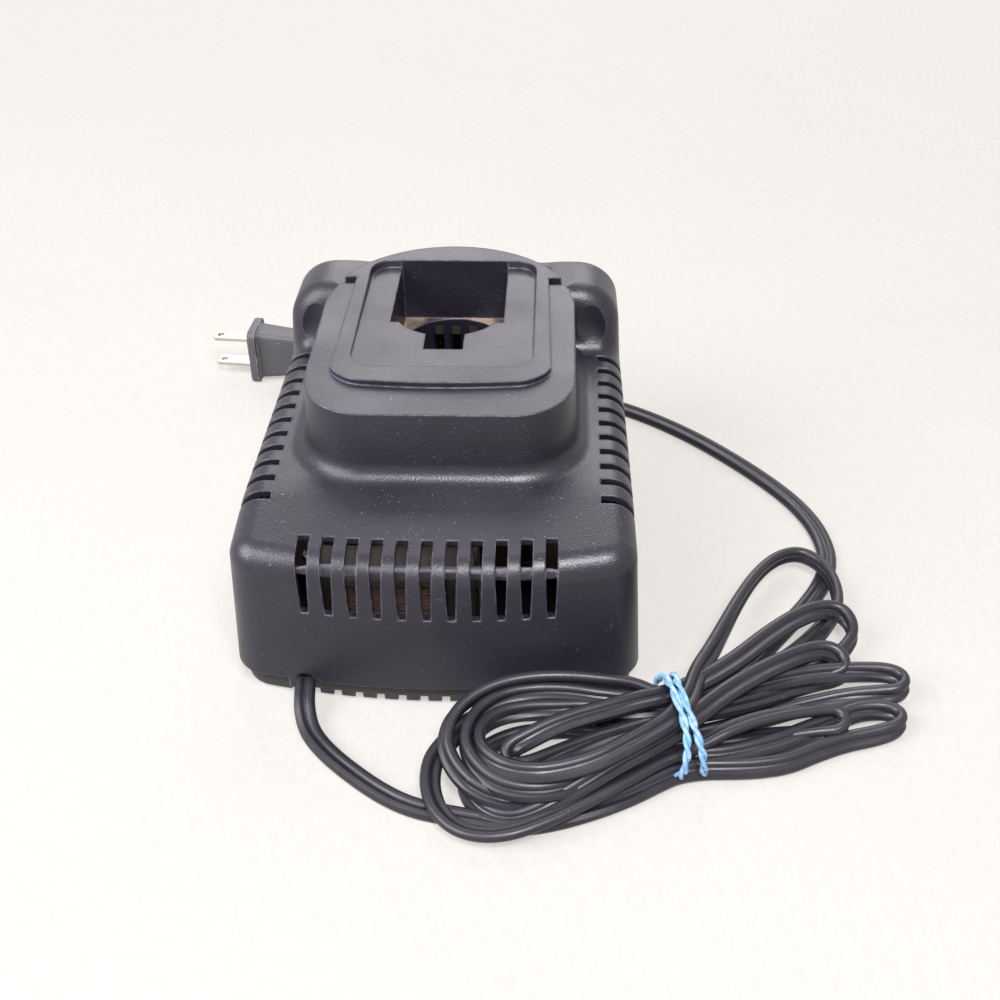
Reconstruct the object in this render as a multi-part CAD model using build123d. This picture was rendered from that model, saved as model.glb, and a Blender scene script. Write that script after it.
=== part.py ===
from build123d import *
import math
import os

# Battery charger for a power tool: a tapered two-part case with a raised dock, a deep
# pocket for the battery's stem, sprung contacts, a mains transformer and a board inside,
# and a flat two-core mains cord tied in a loose hank.
# Millimetres. +Z is up, the cord leaves at -Y, the indicator lights face +Y.

os.makedirs("parts", exist_ok=True)

# ---------------------------------------------------------------- case
foot_stand = 1.5            # how far the feet hold the tray off the bench
skirt_height = 7.7          # visible side of the tray below the seam
seam_z = foot_stand + skirt_height
wall = 2.5
draft = 3.0                 # degrees, on every outer wall
cord_end_half_width = 69.0  # at the seam
front_half_width = 65.5     # at the seam, the case narrows towards its front
half_length = 91.8
cord_end = -half_length     # tips of the two bowed end walls, along Y
front_end = half_length
end_bow = 8.5               # each end wall bulges by this much over its width
corner_radius = 13.0
slope_start_y = cord_end + 44.8     # from here the top curves over and falls towards the cord end
slope_angle = 10.5
slope_bend = 60.0           # radius of that curve
shoulder_radius = 8.5

# ---------------------------------------------------------------- rear block with its two ears
block_y = 37.0              # where the block rises from the low part
block_lean = 3.0            # its rising face leans back by this much
ear_z = 88.6
ear_radius = 16.0           # along the outer top edges of the ears
deck_drop = 2.6             # beside the dock, the deck falls to this much under the ears
deck_low_x = 35.0
deck_half_width = 46.0      # where its fall starts
crest_y = front_end - 25.3  # where the sloping front panel starts
panel_foot = (front_end - 0.8, 31.0)    # where the front panel meets the end wall, as Y and Z
dish_radius = 13.0          # finger dish in each ear: a trough with round ends
dish_depth = 1.5
dish_rise = 4.4             # height of the straight part of the dish
dish_x = 53.6
dish_z = 77.6

# ---------------------------------------------------------------- dock
dock_half_width = 45.6
dock_near_y = -46.6
dock_corner_radius = 21.0
dock_arc_y = 22.4           # centre of the half-round rear end
rim_z = 92.2                # raised frame and rear flange
step_drop = 1.6             # side strips and front band lie this much lower
recess_drop = 3.0           # panel inside the raised frame, at its deep rear end
recess_near_drop = 0.7      # it rises to this much under the frame at its near end
recess_draft = 12.0         # degrees, its walls open upwards
dock_foot_radius = 6.0
frame_half_width = 37.6     # at its near corners
frame_rear_half_width = 36.0
frame_near_y = -31.7
frame_corner_width = 11.0
frame_corner_depth = 10.0
frame_bow = 1.4             # its near edge bulges by this much
band_drop = 1.6             # the front band falls by this much to its outer edge
notch_length = 8.0
notch_width = 2.5
notch_depth = 4.0
flange_y = 42.9             # the raised rear flange starts here
recess_half_width = 31.5
recess_near_y = -21.4
recess_radius = 8.0

# ---------------------------------------------------------------- pocket for the battery stem
pocket_half_width = 20.4
pocket_near_y = 11.5
pocket_far_y = 56.3
stem_radius = 19.9
stem_y = 21.4
key_half_width = 6.9
key_near_y = -8.3
ledge_z = 67.0
well_y = 35.9               # rear centre of the well below the ledge
well_floor_z = 40.0
sleeve_wall = 2.2

# ---------------------------------------------------------------- vents
vent_count = 11
end_vent_pitch = 8.0
end_vent_width = 3.9        # over the shoulder
end_vent_low_width = 2.5    # at its lower end, the slots narrow down the wall
end_vent_shift = -1.2       # the row sits a little to one side
end_vent_inner_y = cord_end + 15.9
end_vent_inner_bow = 1.6    # the outermost slots end this much further in
end_vent_low_z = 38.4
end_vent_bend_z = 57.0      # the slots are straight above this height
side_vent_pitch = 8.8
side_vent_width = 3.5
side_vent_first_y = -57.2
side_vent_inner_x = 54.6
side_vent_low_z = 42.0
baffle_y = cord_end + 5.2   # a rib inside the end wall, behind the slots
baffle_z = 53.0
baffle_height = 3.6
baffle_thickness = 2.5
baffle_half_length = 50.0

# ---------------------------------------------------------------- screws, gland and lights
boss_diameter = 8.0
boss_foot_z = seam_z + 2.6  # the housing's bosses meet the tray's here
screw_diameter = 2.9
screw_length = 22.0
screw_places = [
    (-58.0, cord_end + 19.8), (58.0, cord_end + 19.8), (-52.0, front_end - 21.8), (52.0, front_end - 21.8),
]
cord_x = -44.0
bushing_width = 11.0
bushing_depth = 9.0
bushing_low_z = 4.9
bushing_top_z = 12.0
bushing_arch = 2.5          # radius of its upper corners
bushing_face_y = cord_end + 4.5
light_spacing = 18.0
light_y = front_end - 11.8
light_diameter = 5.0
light_fit = 0.15            # play of a light pipe in its hole
light_wall = 1.6            # wall of the tube that guides it
pipe_collar_height = 3.0

# ---------------------------------------------------------------- base tray
seam_gap = 1.0              # dark groove between housing and tray
skirt_inset = 1.0           # how far the skirt stands back under the seam
skirt_flare = 1.6           # it draws in by this much more down to its edge
skirt_wall = 2.4
tray_hollow = 2.8           # the floor lies this much above the skirt's edge
tray_floor = 2.5
floor_low_z = foot_stand + tray_hollow
floor_z = floor_low_z + tray_floor
lip_play = 0.35
lip_thickness = 1.4
lip_top_z = seam_z + 2.2
crenel_count = 14           # vent notches along the lower edge of each end
crenel_pitch = 7.4
crenel_width = 2.8
tray_boss_diameter = 10.4
screw_head_diameter = 6.0
screw_head_height = 2.4
head_seat_z = 7.4           # the heads pull against this face inside the tray's bosses

# ---------------------------------------------------------------- feet
foot_diameter = 11.0
foot_pocket = 0.8
foot_stud_diameter = 4.0
foot_places = [
    (-54.0, cord_end + 39.8), (54.0, cord_end + 39.8), (-51.0, front_end - 41.8), (51.0, front_end - 41.8),
]

# ---------------------------------------------------------------- circuit board
board_z = 13.4
board_thickness = 1.6
board_half_width = 57.0
board_near_y = cord_end + 55.8
board_far_y = front_end - 29.8
tongue_half_width = 27.0
tongue_far_y = front_end - 7.3
board_screw_inset = 6.0     # from both edges of the board
post_diameter = 6.0
board_screw_diameter = 2.4
board_screw_head = 4.8
board_screw_depth = 6.0
board_screw_head_height = 1.8
blind_floor = 0.6           # what the blind screw holes leave of the tray's floor
sheet_thickness = 0.4

# ---------------------------------------------------------------- transformer
core_width = 54.0           # along X
core_height = 45.0
core_stack = 22.0           # along Y
core_leg = 18.0
core_x = -14.0
core_y = cord_end + 30.8
core_stand = 2.8            # the core stands on two ribs of the tray this high
bobbin_wall = 1.2
coil_clear = 0.5            # between the bobbin and the outer legs
strap_thickness = 1.2
strap_width = 12.0
strap_foot_length = 9.0
strap_screw_diameter = 3.0
strap_screw_head = 5.6
strap_screw_head_height = 2.0
core_head_room = 8.8        # from the strap up to the outside of the case's flat top

# ---------------------------------------------------------------- parts on the board
sink_x = 39.0
sink_y = 12.0
sink_length = 46.0
sink_height = 26.0
sink_base = 3.0
fin_length = 11.0
fin_thickness = 1.5
fin_count = 5
transistor_width = 10.2
transistor_height = 15.0
transistor_thickness = 4.5
transistor_spacing = 20.0
capacitor_diameter = 16.0
capacitor_height = 25.0
capacitor_places = [(-38.0, board_near_y + 14.0), (-20.0, board_near_y + 12.0)]
small_cap_diameter = 6.3
small_cap_height = 11.0
small_cap_places = [(-46.0, 6.0), (-46.0, 15.0), (-37.0, board_far_y - 8.0), (28.0, board_near_y + 6.0)]
diode_diameter = 5.0
diode_length = 9.0
diode_count = 4
diode_x = 12.0
diode_first_y = board_near_y + 10.0
diode_pitch = 8.0
relay_size = (19.0, 15.5, 15.0)
relay_place = (-42.0, 34.0)
chip_size = (24.0, 7.6, 3.6)
chip_place = (28.0, board_far_y - 10.0)
fuse_diameter = 5.2
fuse_length = 20.0
fuse_place = (-4.0, 33.0)
resistor_diameter = 2.5
resistor_length = 6.5
resistor_places = [
    (-12.0, board_far_y + 4.0), (-12.0, board_far_y + 8.0), (12.0, board_far_y + 4.0), (12.0, board_far_y + 8.0),
    (24.0, 40.0), (24.0, 44.0),
]
led_diameter = 5.0
led_height = 8.6

# ---------------------------------------------------------------- contacts in the well
carrier_thickness = 2.6
carrier_rim = 1.6
carrier_rim_height = 5.0
root_half_width = 12.0
root_near_y = 49.5
root_height = 3.2
contact_spacing = 6.6
contact_width = 3.2
contact_thickness = 0.5
contact_y = 51.9
contact_root_z = 38.4
contact_bend_z = 60.6
contact_tip_z = 66.2
contact_reach = 1.8         # the bent tip stands forward by this much
contact_play = 0.3          # free space round a finger in its slot
contact_swing_room = 0.4    # more of it behind, where the finger bends to

# ---------------------------------------------------------------- mains cord
cord_diameter = 5.6         # round bar of the flat cord's section area and a little air
cord_lie = cord_diameter / 2
cord_fit = 0.2              # the bushing and the clamp are bored this much wider
arc_share = 0.45            # share of the shorter run that a bend's arc takes at each end
core_wire = 2.2
winding_gap = 1.0           # the coils stay this far inside the bobbin's flanges
hank_corner = 4.0
hank_edge = 3.5
clamp_width = 15.0
clamp_depth = 5.0
clamp_height = 2.4
clamp_y = cord_end + 16.2
clamp_screw_spacing = 10.6
hank_low_height = 13.0
hank_high_height = 22.0
band_width = 7.0
band_thickness = 1.4
waist = (81.0, -107.0)      # middle of the tied part of the hank
waist_half_width = 16.0
waist_height = 18.0
waist_turn = 12.0           # degrees, how far the band is turned from the Y axis

# ---------------------------------------------------------------- plug
plug_face = (-99.3, 121.6, 13.0)    # middle of the face that the blades stand in
plug_turn = -5.0            # degrees about Z, away from lying along X
plug_flange = (3.8, 17.4, 26.0)
plug_root = (12.4, 23.0)    # body across Y and Z behind the flange
plug_waist = (10.6, 19.6)   # body where it starts to taper to the cord
plug_waist_x = 21.0
plug_neck = (8.6, 8.6)
plug_length = 30.0
blade_spacing = 12.7
blade_size = (17.5, 6.35, 1.5)
blade_hole = 3.2
blade_seat = 3.0            # how far the blades are moulded into the body

# ---------------------------------------------------------------- places that follow from these
shoulder_z = floor_z + core_stand + core_height + strap_thickness + core_head_room   # flat top of the low part
past = 2 * half_length      # beyond every outline
board_screw_x = board_half_width - board_screw_inset
board_screw_places = [
    (-board_screw_x, board_near_y + board_screw_inset), (board_screw_x, board_near_y + board_screw_inset),
    (-board_screw_x, board_far_y - board_screw_inset), (board_screw_x, board_far_y - board_screw_inset),
]
crenel_inner_y = half_length - end_bow - skirt_inset - skirt_flare - skirt_wall
foot_top_z = floor_low_z + 1.4
core_z = floor_z + core_stand
window_low_z = core_z + core_leg / 2
window_high_z = core_z + core_height - core_leg / 2
bobbin_edge_x = core_width / 2 - core_leg / 2 - coil_clear
bobbin_edge_y = core_stack / 2 + core_width / 2 - core_leg - coil_clear
bobbin_middle_z = (window_low_z + window_high_z) / 2
strap_foot_z = core_z - strap_thickness
strap_reach = core_width / 2 + strap_thickness + strap_foot_length / 2
strap_feet_x = [core_x - strap_reach, core_x + strap_reach]
cord_core_z = (bushing_low_z + bushing_top_z) / 2
clamp_z = cord_core_z + 0.9
clamp_screws_x = [cord_x - clamp_screw_spacing / 2, cord_x + clamp_screw_spacing / 2]
board_top_z = board_z + board_thickness
transistor_ys = [sink_y - transistor_spacing / 2, sink_y + transistor_spacing / 2]
transistor_low_z = board_top_z + 4.0
transistor_hole_z = transistor_low_z + transistor_height - 3.0
pipe_low_z = board_top_z + led_height + 0.3
carrier_z = well_floor_z - carrier_thickness
contact_xs = [-contact_spacing, contact_spacing, 0.0]
light_xs = [-light_spacing / 2, light_spacing / 2]
lead_end_y = clamp_y + clamp_depth / 2 + 1.0
plug_end = (
    plug_face[0] + plug_length * math.cos(math.radians(plug_turn)),
    plug_face[1] + plug_length * math.sin(math.radians(plug_turn)),
    plug_face[2],
)


def block(x0, x1, y0, y1, z0, z1):
    """A box from its two corners."""
    return Pos((x0 + x1) / 2, (y0 + y1) / 2, (z0 + z1) / 2) * Box(x1 - x0, y1 - y0, z1 - z0)


def rod(x, y, z0, z1, diameter):
    """An upright round bar."""
    return Pos(x, y, (z0 + z1) / 2) * Cylinder(diameter / 2, z1 - z0)


def side_prism(points, half_width):
    """A prism along X over an outline given as Y and Z."""
    outline = Polyline([(y, z) for y, z in points], close=True)
    return extrude(Plane.YZ * make_face(outline), amount=half_width, both=True)


def above_top(lift):
    """Everything over the flat and falling top of the low part, raised by the lift."""
    angle = math.radians(slope_angle)
    z = shoulder_z + lift
    bend_y = slope_start_y - slope_bend * math.sin(angle)
    bend_z = z - slope_bend * (1 - math.cos(angle))
    middle_y = slope_start_y - slope_bend * math.sin(angle / 2)
    middle_z = z - slope_bend * (1 - math.cos(angle / 2))
    end_y = -half_length - 10
    end_z = bend_z - (bend_y - end_y) * math.tan(angle)
    sky = rim_z + 20
    outline = [
        Line((end_y, end_z), (bend_y, bend_z)),
        ThreePointArc((bend_y, bend_z), (middle_y, middle_z), (slope_start_y, z)),
        Line((slope_start_y, z), (half_length + 10, z)),
        Polyline([(half_length + 10, z), (half_length + 10, sky), (end_y, sky), (end_y, end_z)]),
    ]
    return extrude(Plane.YZ * make_face(outline), amount=cord_end_half_width + 10, both=True)


def case_plan(inset):
    """Outline of the case at the seam, drawn in by the inset."""
    near = cord_end_half_width - inset
    far = front_half_width - inset
    tip = half_length - inset
    corner = tip - end_bow
    outline = [
        ThreePointArc((-near, -corner), (0, -tip), (near, -corner)),
        Line((near, -corner), (far, corner)),
        ThreePointArc((far, corner), (0, tip), (-far, corner)),
        Line((-far, corner), (-near, -corner)),
    ]
    face = make_face(outline)
    return fillet(face.vertices(), corner_radius - inset / 2)


def case_prism(inset, z0, z1, lean):
    """The case outline raised from z0 to z1 with its walls leaning in."""
    return extrude(Plane.XY.offset(z0) * case_plan(inset), amount=z1 - z0, taper=lean)


# ================================================================ form of the top housing
def case_form(inset, base_z, radius):
    """The case as one block, drawn in by the inset on its walls, top and panel."""
    top = ear_z - inset
    high = past
    form = case_prism(inset + (base_z - seam_z) * math.tan(math.radians(draft)), base_z, top, draft)
    rise_y = block_y + inset
    lean_rate = block_lean / (ear_z - shoulder_z)
    before_block = side_prism(
        [(-past, 0), (rise_y, 0), (rise_y, shoulder_z),
         (rise_y + (high - shoulder_z) * lean_rate, high), (-past, high)],
        past,
    )
    form -= above_top(-inset) & before_block
    foot_y, foot_z = panel_foot
    fall = (foot_z - ear_z) / (foot_y - crest_y)
    back = inset * math.sqrt(1 + 1 / fall ** 2)
    form -= side_prism(
        [(crest_y - back - 2, ear_z - 2 * fall), (past, ear_z - 2 * fall),
         (past, ear_z + (past - crest_y + back) * fall)],
        past,
    )
    ear_sides = [e for e in form.edges() if e.center().Z > top - 1 and abs(e.center().X) > deck_low_x]
    form = fillet(ear_sides, radius + ear_radius - shoulder_radius)
    high_edges = [e for e in form.edges() if e.center().Z > panel_foot[1] + 10]
    along_block = [
        e for e in high_edges
        if e.center().Y > rise_y - 1 and (abs(e.center().X) > 10 or e.center().Z > top - 1)
    ]
    along_low = [
        e for e in high_edges
        if e.center().Y < rise_y - 1 and (abs(e.center().X) > 5 or e.center().Y < end_vent_inner_y)
    ]
    return fillet(along_block + along_low, radius)


def dock_plan(grow):
    """Outline of the dock: straight sides, rounded near corners and a half-round rear."""
    half = dock_half_width + grow
    near_y = dock_near_y - grow
    slab = make_face(Polyline([(-half, near_y), (half, near_y), (half, dock_arc_y), (-half, dock_arc_y)], close=True))
    near_corners = slab.vertices().sort_by(Axis.Y)[:2]
    return fillet(near_corners, dock_corner_radius + grow) + Pos(0, dock_arc_y) * Circle(half)


def dock_form(grow, base_z, top_z):
    """The dock raised from base_z, its wall leaning in and reaching its own size at the rim."""
    spread = (rim_z - base_z) * math.tan(math.radians(draft))
    return extrude(Plane.XY.offset(base_z) * dock_plan(grow + spread), amount=top_z - base_z, taper=draft)


def frame_plan():
    """Raised frame of the dock top: a rectangle whose near corners are cut by arcs."""
    half = frame_half_width
    rear_half = frame_rear_half_width
    corner_y = frame_near_y + frame_corner_depth
    corner_x = half - frame_corner_width
    bowed_y = frame_near_y + frame_bow
    middle = (half - 0.32 * frame_corner_width, frame_near_y + 0.48 * frame_corner_depth)
    rear_y = flange_y + 1
    outline = [
        ThreePointArc((-half, corner_y), (-middle[0], middle[1]), (-corner_x, bowed_y)),
        ThreePointArc((-corner_x, bowed_y), (0, frame_near_y), (corner_x, bowed_y)),
        ThreePointArc((corner_x, bowed_y), middle, (half, corner_y)),
        Polyline([(half, corner_y), (rear_half, rear_y), (-rear_half, rear_y), (-half, corner_y)]),
    ]
    return make_face(outline)


def stem_plan(near_y, far_y, rear_radius_y, grow):
    """Opening for the battery's stem: round nose, key slot, and a square or a round rear."""
    radius = stem_radius + grow
    nose = Pos(0, stem_y) * Circle(radius)
    key = Pos(0, (key_near_y - grow + stem_y) / 2) * Rectangle(
        2 * (key_half_width + grow), stem_y - key_near_y + grow
    )
    if rear_radius_y is None:
        half = pocket_half_width + grow
        body = Pos(0, (near_y + far_y) / 2) * Rectangle(2 * half, far_y - near_y + 2 * grow)
        return nose + key + body
    rear = Pos(0, rear_radius_y) * Circle(radius)
    body = Pos(0, (stem_y + rear_radius_y) / 2) * Rectangle(2 * radius, rear_radius_y - stem_y)
    return nose + key + body + rear


def pocket_plan(grow):
    return stem_plan(pocket_near_y, pocket_far_y, None, grow)


def well_plan(grow):
    return stem_plan(None, None, well_y, grow)


def raised(plan, z0, z1):
    """A flat outline raised from z0 to z1."""
    return extrude(Plane.XY.offset(z0) * plan, amount=z1 - z0)


def mirrored_pair(shape):
    """The shape and its twin on the other side of the middle plane."""
    return shape + mirror(shape, Plane.YZ)


# ================================================================ top housing
def housing_outside():
    """The housing's outer form: case, dock with its coved foot, deck between the ears, dishes."""
    form = case_form(0, seam_z, shoulder_radius)
    form += dock_form(0, shoulder_z - 15, rim_z)
    foot = [
        e for e in form.edges()
        if shoulder_z - 8 < e.center().Z < shoulder_z + 1
        and abs(e.center().X) < front_half_width - shoulder_radius and dock_near_y - 5 < e.center().Y < block_y + 1
    ]
    form = fillet(foot, dock_foot_radius)
    deck = Plane.XZ * make_face(Polyline(
        [(-deck_half_width, rim_z + 1), (-deck_half_width, ear_z), (-deck_low_x, ear_z - deck_drop),
         (deck_low_x, ear_z - deck_drop), (deck_half_width, ear_z), (deck_half_width, rim_z + 1)],
        close=True,
    ))
    form -= extrude(deck, amount=-half_length) - dock_form(0, shoulder_z, rim_z + 5)
    dish_y = block_y + block_lean / 2 + dish_depth - dish_radius
    dish = rod(dish_x, dish_y, dish_z - dish_rise / 2, dish_z + dish_rise / 2, 2 * dish_radius)
    dish += Pos(dish_x, dish_y, dish_z - dish_rise / 2) * Sphere(dish_radius)
    dish += Pos(dish_x, dish_y, dish_z + dish_rise / 2) * Sphere(dish_radius)
    face_only = block(0, cord_end_half_width, block_y, half_length, shoulder_z, ear_z)
    form -= mirrored_pair(dish & face_only)
    return form


def dock_top_cuts():
    """What is cut away from the top of the dock, down from the rim."""
    step_z = rim_z - step_drop
    over = rim_z + 5
    strips = raised(dock_plan(5) - frame_plan(), step_z, over) - block(-past, past, flange_y, past, 0, past)
    band_fall = (dock_near_y - 10, frame_near_y + frame_corner_depth)
    band = side_prism(
        [(band_fall[1], step_z), (band_fall[1], over), (band_fall[0], over),
         (band_fall[0], step_z - band_drop * (band_fall[1] - band_fall[0]) / (band_fall[1] - dock_near_y))],
        past,
    ) & raised(dock_plan(5) - frame_plan(), step_z - 4, over)
    narrow = recess_drop * math.tan(math.radians(recess_draft))
    recess_plan = Plane.XY.offset(rim_z - recess_drop) * Pos(0, (recess_near_y + pocket_far_y) / 2) * RectangleRounded(
        2 * (recess_half_width - narrow), pocket_far_y - recess_near_y - 2 * narrow, recess_radius - narrow
    )
    recess = extrude(recess_plan, amount=over - rim_z + recess_drop, taper=-recess_draft)
    recess_floor = side_prism(
        [(recess_near_y, rim_z - recess_near_drop), (recess_near_y, over),
         (pocket_far_y, over), (pocket_far_y, rim_z - recess_drop)],
        past,
    )
    notch = mirrored_pair(block(
        frame_rear_half_width, frame_rear_half_width + notch_length, flange_y - notch_width, flange_y,
        step_z - notch_depth, over,
    ))
    return strips + band + (recess & recess_floor) + notch


def end_slot(x, inner_y):
    """One slot of the cord end: straight over the shoulder, narrowing down the wall."""
    top = shoulder_z + end_vent_width
    half = end_vent_width / 2
    low = end_vent_low_width / 2
    outline = Polyline(
        [(x - low, end_vent_low_z), (x + low, end_vent_low_z), (x + half, end_vent_bend_z),
         (x + half, top), (x - half, top), (x - half, end_vent_bend_z)],
        close=True,
    )
    plane = Plane(origin=(0, inner_y, 0), x_dir=(1, 0, 0), z_dir=(0, -1, 0))
    return extrude(plane * make_face(outline), amount=half_length + inner_y + end_vent_width)


def vent_cuts():
    """Slots through the shoulders: a row at the cord end and a row along each side."""
    cuts = []
    middle = (vent_count - 1) / 2
    for i in range(vent_count):
        offset = (i - middle) * end_vent_pitch
        inner_y = end_vent_inner_y + end_vent_inner_bow * ((i - middle) / middle) ** 2
        cuts.append(end_slot(end_vent_shift + offset, inner_y))
    for i in range(vent_count):
        y = side_vent_first_y + i * side_vent_pitch
        half = side_vent_width / 2
        slot = block(
            side_vent_inner_x, cord_end_half_width + 1, y - half, y + half,
            side_vent_low_z, shoulder_z + side_vent_width,
        )
        cuts += [slot, mirror(slot, Plane.YZ)]
    return Compound(children=[cut.solid() for cut in cuts])


def top_housing():
    """The whole upper shell with its pocket sleeves, screw bosses, baffle and light holes."""
    outside = housing_outside()
    recess_z = rim_z - recess_drop
    hollow = case_form(wall, seam_z - 1, shoulder_radius - wall)
    hollow += dock_form(-wall, shoulder_z - 10, recess_z - wall)
    shell = outside - hollow
    sleeves = raised(pocket_plan(sleeve_wall), ledge_z - wall, recess_z)
    sleeves += raised(well_plan(sleeve_wall), well_floor_z, ledge_z)
    bosses = Compound(children=[
        (rod(x, y, boss_foot_z, ear_z, boss_diameter) & outside).solid() for x, y in screw_places
    ])
    light_tubes = Compound(children=[
        (rod(x, light_y, pipe_low_z + pipe_collar_height, rim_z, light_diameter + 2 * light_wall) & outside).solid()
        for x in light_xs
    ])
    dish_back = mirrored_pair(block(
        dish_x - dish_radius * 0.8, dish_x + dish_radius * 0.8, block_y + 1, block_y + block_lean + dish_depth + wall,
        shoulder_z - wall, ear_z - wall,
    ))
    shell = shell + (sleeves & outside) + bosses + light_tubes + (dish_back & outside)
    baffle = block(
        end_vent_shift - baffle_half_length, end_vent_shift + baffle_half_length,
        baffle_y, baffle_y + baffle_thickness, baffle_z, baffle_z + baffle_height,
    )
    shell -= vent_cuts()
    shell += baffle & case_form(wall / 2, seam_z, shoulder_radius - wall)
    shell -= dock_top_cuts()
    shell -= raised(pocket_plan(0), ledge_z, rim_z + 1)
    shell -= raised(well_plan(0), well_floor_z - 1, ledge_z + 1)
    for x, y in screw_places:
        shell -= rod(x, y, seam_z, head_seat_z + screw_length + 1, screw_diameter)
    for x in light_xs:
        shell -= rod(x, light_y, pipe_low_z, rim_z, light_diameter + 2 * light_fit)
    return shell - cord_notch()


def bushing_block(play):
    """The bushing's outer form, arched at the top; with play it is the notch for it."""
    half = bushing_width / 2 + play
    shape = block(
        cord_x - half, cord_x + half, bushing_face_y, bushing_face_y + bushing_depth + play,
        bushing_low_z, bushing_top_z + play,
    )
    top = shape.faces().sort_by(Axis.Z)[-1]
    return fillet(top.edges().filter_by(Axis.Y), bushing_arch)


def cord_notch():
    """The space of the bushing, cut through the end walls of housing and tray."""
    notch = bushing_block(0)
    return notch + Pos(0, -bushing_depth + 1, 0) * notch


# ================================================================ base tray and feet
def skirt_prism(inset, z0, z1):
    """The tray's outline from z0 up to z1, flaring out towards the seam."""
    full_height = seam_z - seam_gap - foot_stand
    lean = math.degrees(math.atan2(skirt_flare, full_height))
    low_inset = inset + skirt_inset + skirt_flare * (seam_z - seam_gap - z0) / full_height
    return extrude(Plane.XY.offset(z0) * case_plan(low_inset), amount=z1 - z0, taper=-lean)


def base_tray():
    """The lower shell: notched skirt, floor, lip inside the housing, bosses, posts and ribs."""
    top_z = seam_z - seam_gap
    tray = skirt_prism(0, foot_stand, top_z)
    tray -= skirt_prism(skirt_wall, foot_stand, floor_low_z)
    tray -= skirt_prism(skirt_wall, floor_z, top_z)
    lip = raised(case_plan(wall + lip_play), floor_z, lip_top_z)
    lip -= raised(case_plan(wall + lip_play + lip_thickness), floor_z, lip_top_z)
    tray += lip
    for i in range(crenel_count):
        x = (i - (crenel_count - 1) / 2) * crenel_pitch
        gap = block(x - crenel_width / 2, x + crenel_width / 2, crenel_inner_y, half_length, 0, floor_low_z)
        tray -= gap
        tray -= mirror(gap, Plane.XZ)
    for x, y in screw_places:
        tray += rod(x, y, foot_stand, boss_foot_z, tray_boss_diameter)
        tray -= rod(x, y, foot_stand, head_seat_z, screw_head_diameter + 0.6)
        tray -= rod(x, y, head_seat_z, boss_foot_z, screw_diameter + 0.6)
    for x, y in foot_places:
        tray += rod(x, y, foot_stand, floor_low_z, foot_diameter + 3)
        tray -= rod(x, y, foot_stand, foot_stand + foot_pocket, foot_diameter)
        tray -= rod(x, y, foot_stand, foot_top_z, foot_stud_diameter)
    for x, y in board_screw_places:
        tray += rod(x, y, floor_z, board_z - sheet_thickness, post_diameter)
        tray -= rod(x, y, board_z - board_screw_depth, board_z, board_screw_diameter)
    for x in (core_x - core_width / 4, core_x + core_width / 4):
        tray += block(x - 2, x + 2, core_y - core_stack / 2, core_y + core_stack / 2, floor_z, core_z)
    for x in strap_feet_x:
        tray += block(
            x - strap_foot_length / 2, x + strap_foot_length / 2,
            core_y - strap_width / 2, core_y + strap_width / 2, floor_z, strap_foot_z,
        )
        tray -= rod(x, core_y, floor_low_z + blind_floor, strap_foot_z, strap_screw_diameter)
    clamp_seat = block(
        cord_x - clamp_width / 2, cord_x + clamp_width / 2, clamp_y - clamp_depth / 2,
        clamp_y + clamp_depth / 2, floor_z, clamp_z,
    )
    tray += clamp_seat
    for x in clamp_screws_x:
        tray -= rod(x, clamp_y, floor_low_z + blind_floor, clamp_z, board_screw_diameter)
    tray -= along_y(cord_x, cord_core_z, clamp_y - clamp_depth, clamp_y + clamp_depth, cord_diameter)
    return tray - cord_notch()


def along_y(x, z, y0, y1, diameter):
    """A round bar lying along Y."""
    return Pos(x, (y0 + y1) / 2, z) * Rot(90, 0, 0) * Cylinder(diameter / 2, y1 - y0)


def along_x(y, z, x0, x1, diameter):
    """A round bar lying along X."""
    return Pos((x0 + x1) / 2, y, z) * Rot(0, 90, 0) * Cylinder(diameter / 2, x1 - x0)


def group(solids):
    """Like pieces that share one node."""
    return Compound(children=[piece.solid() for piece in solids])


def rubber_foot(x, y):
    """A foot pad with the stud that plugs into the tray."""
    pad = rod(x, y, 0, foot_stand + foot_pocket, foot_diameter)
    pad = fillet(pad.edges().group_by(Axis.Z)[0], 0.6)
    return pad + rod(x, y, foot_stand + foot_pocket, foot_top_z, foot_stud_diameter)


def screw(x, y, seat_z, length, diameter, head_diameter, head_height, up):
    """A pan-head screw with a cross recess, its shank going up or down from the seat."""
    way = 1 if up else -1
    shank = rod(x, y, min(seat_z, seat_z + way * length), max(seat_z, seat_z + way * length), diameter)
    head = rod(x, y, min(seat_z, seat_z - way * head_height), max(seat_z, seat_z - way * head_height), head_diameter)
    rim = head.edges().sort_by(Axis.Z)
    head = fillet(rim[0] if up else rim[-1], head_height * 0.4)
    face_z = seat_z - way * head_height
    slot = head_diameter * 0.28
    deep = head_height * 0.5
    recess = Pos(x, y, face_z) * Box(2 * slot, slot * 0.35, 2 * deep)
    recess += Pos(x, y, face_z) * Box(slot * 0.35, 2 * slot, 2 * deep)
    return shank + head - recess


# ================================================================ circuit board and what it carries
def board_plan():
    plan = Pos(0, (board_near_y + board_far_y) / 2) * Rectangle(2 * board_half_width, board_far_y - board_near_y)
    tongue = Pos(0, (board_far_y + tongue_far_y) / 2) * Rectangle(2 * tongue_half_width, tongue_far_y - board_far_y)
    return plan + tongue


def circuit_board():
    board = raised(board_plan(), board_z, board_top_z)
    for x, y in board_screw_places:
        board -= rod(x, y, board_z, board_top_z, board_screw_diameter)
    return board


def insulating_sheet():
    """A thin sheet under the board, on the heads of the tray's posts."""
    sheet = raised(board_plan(), board_z - sheet_thickness, board_z)
    for x, y in board_screw_places:
        sheet -= rod(x, y, board_z - sheet_thickness, board_z, board_screw_diameter)
    return sheet


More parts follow.
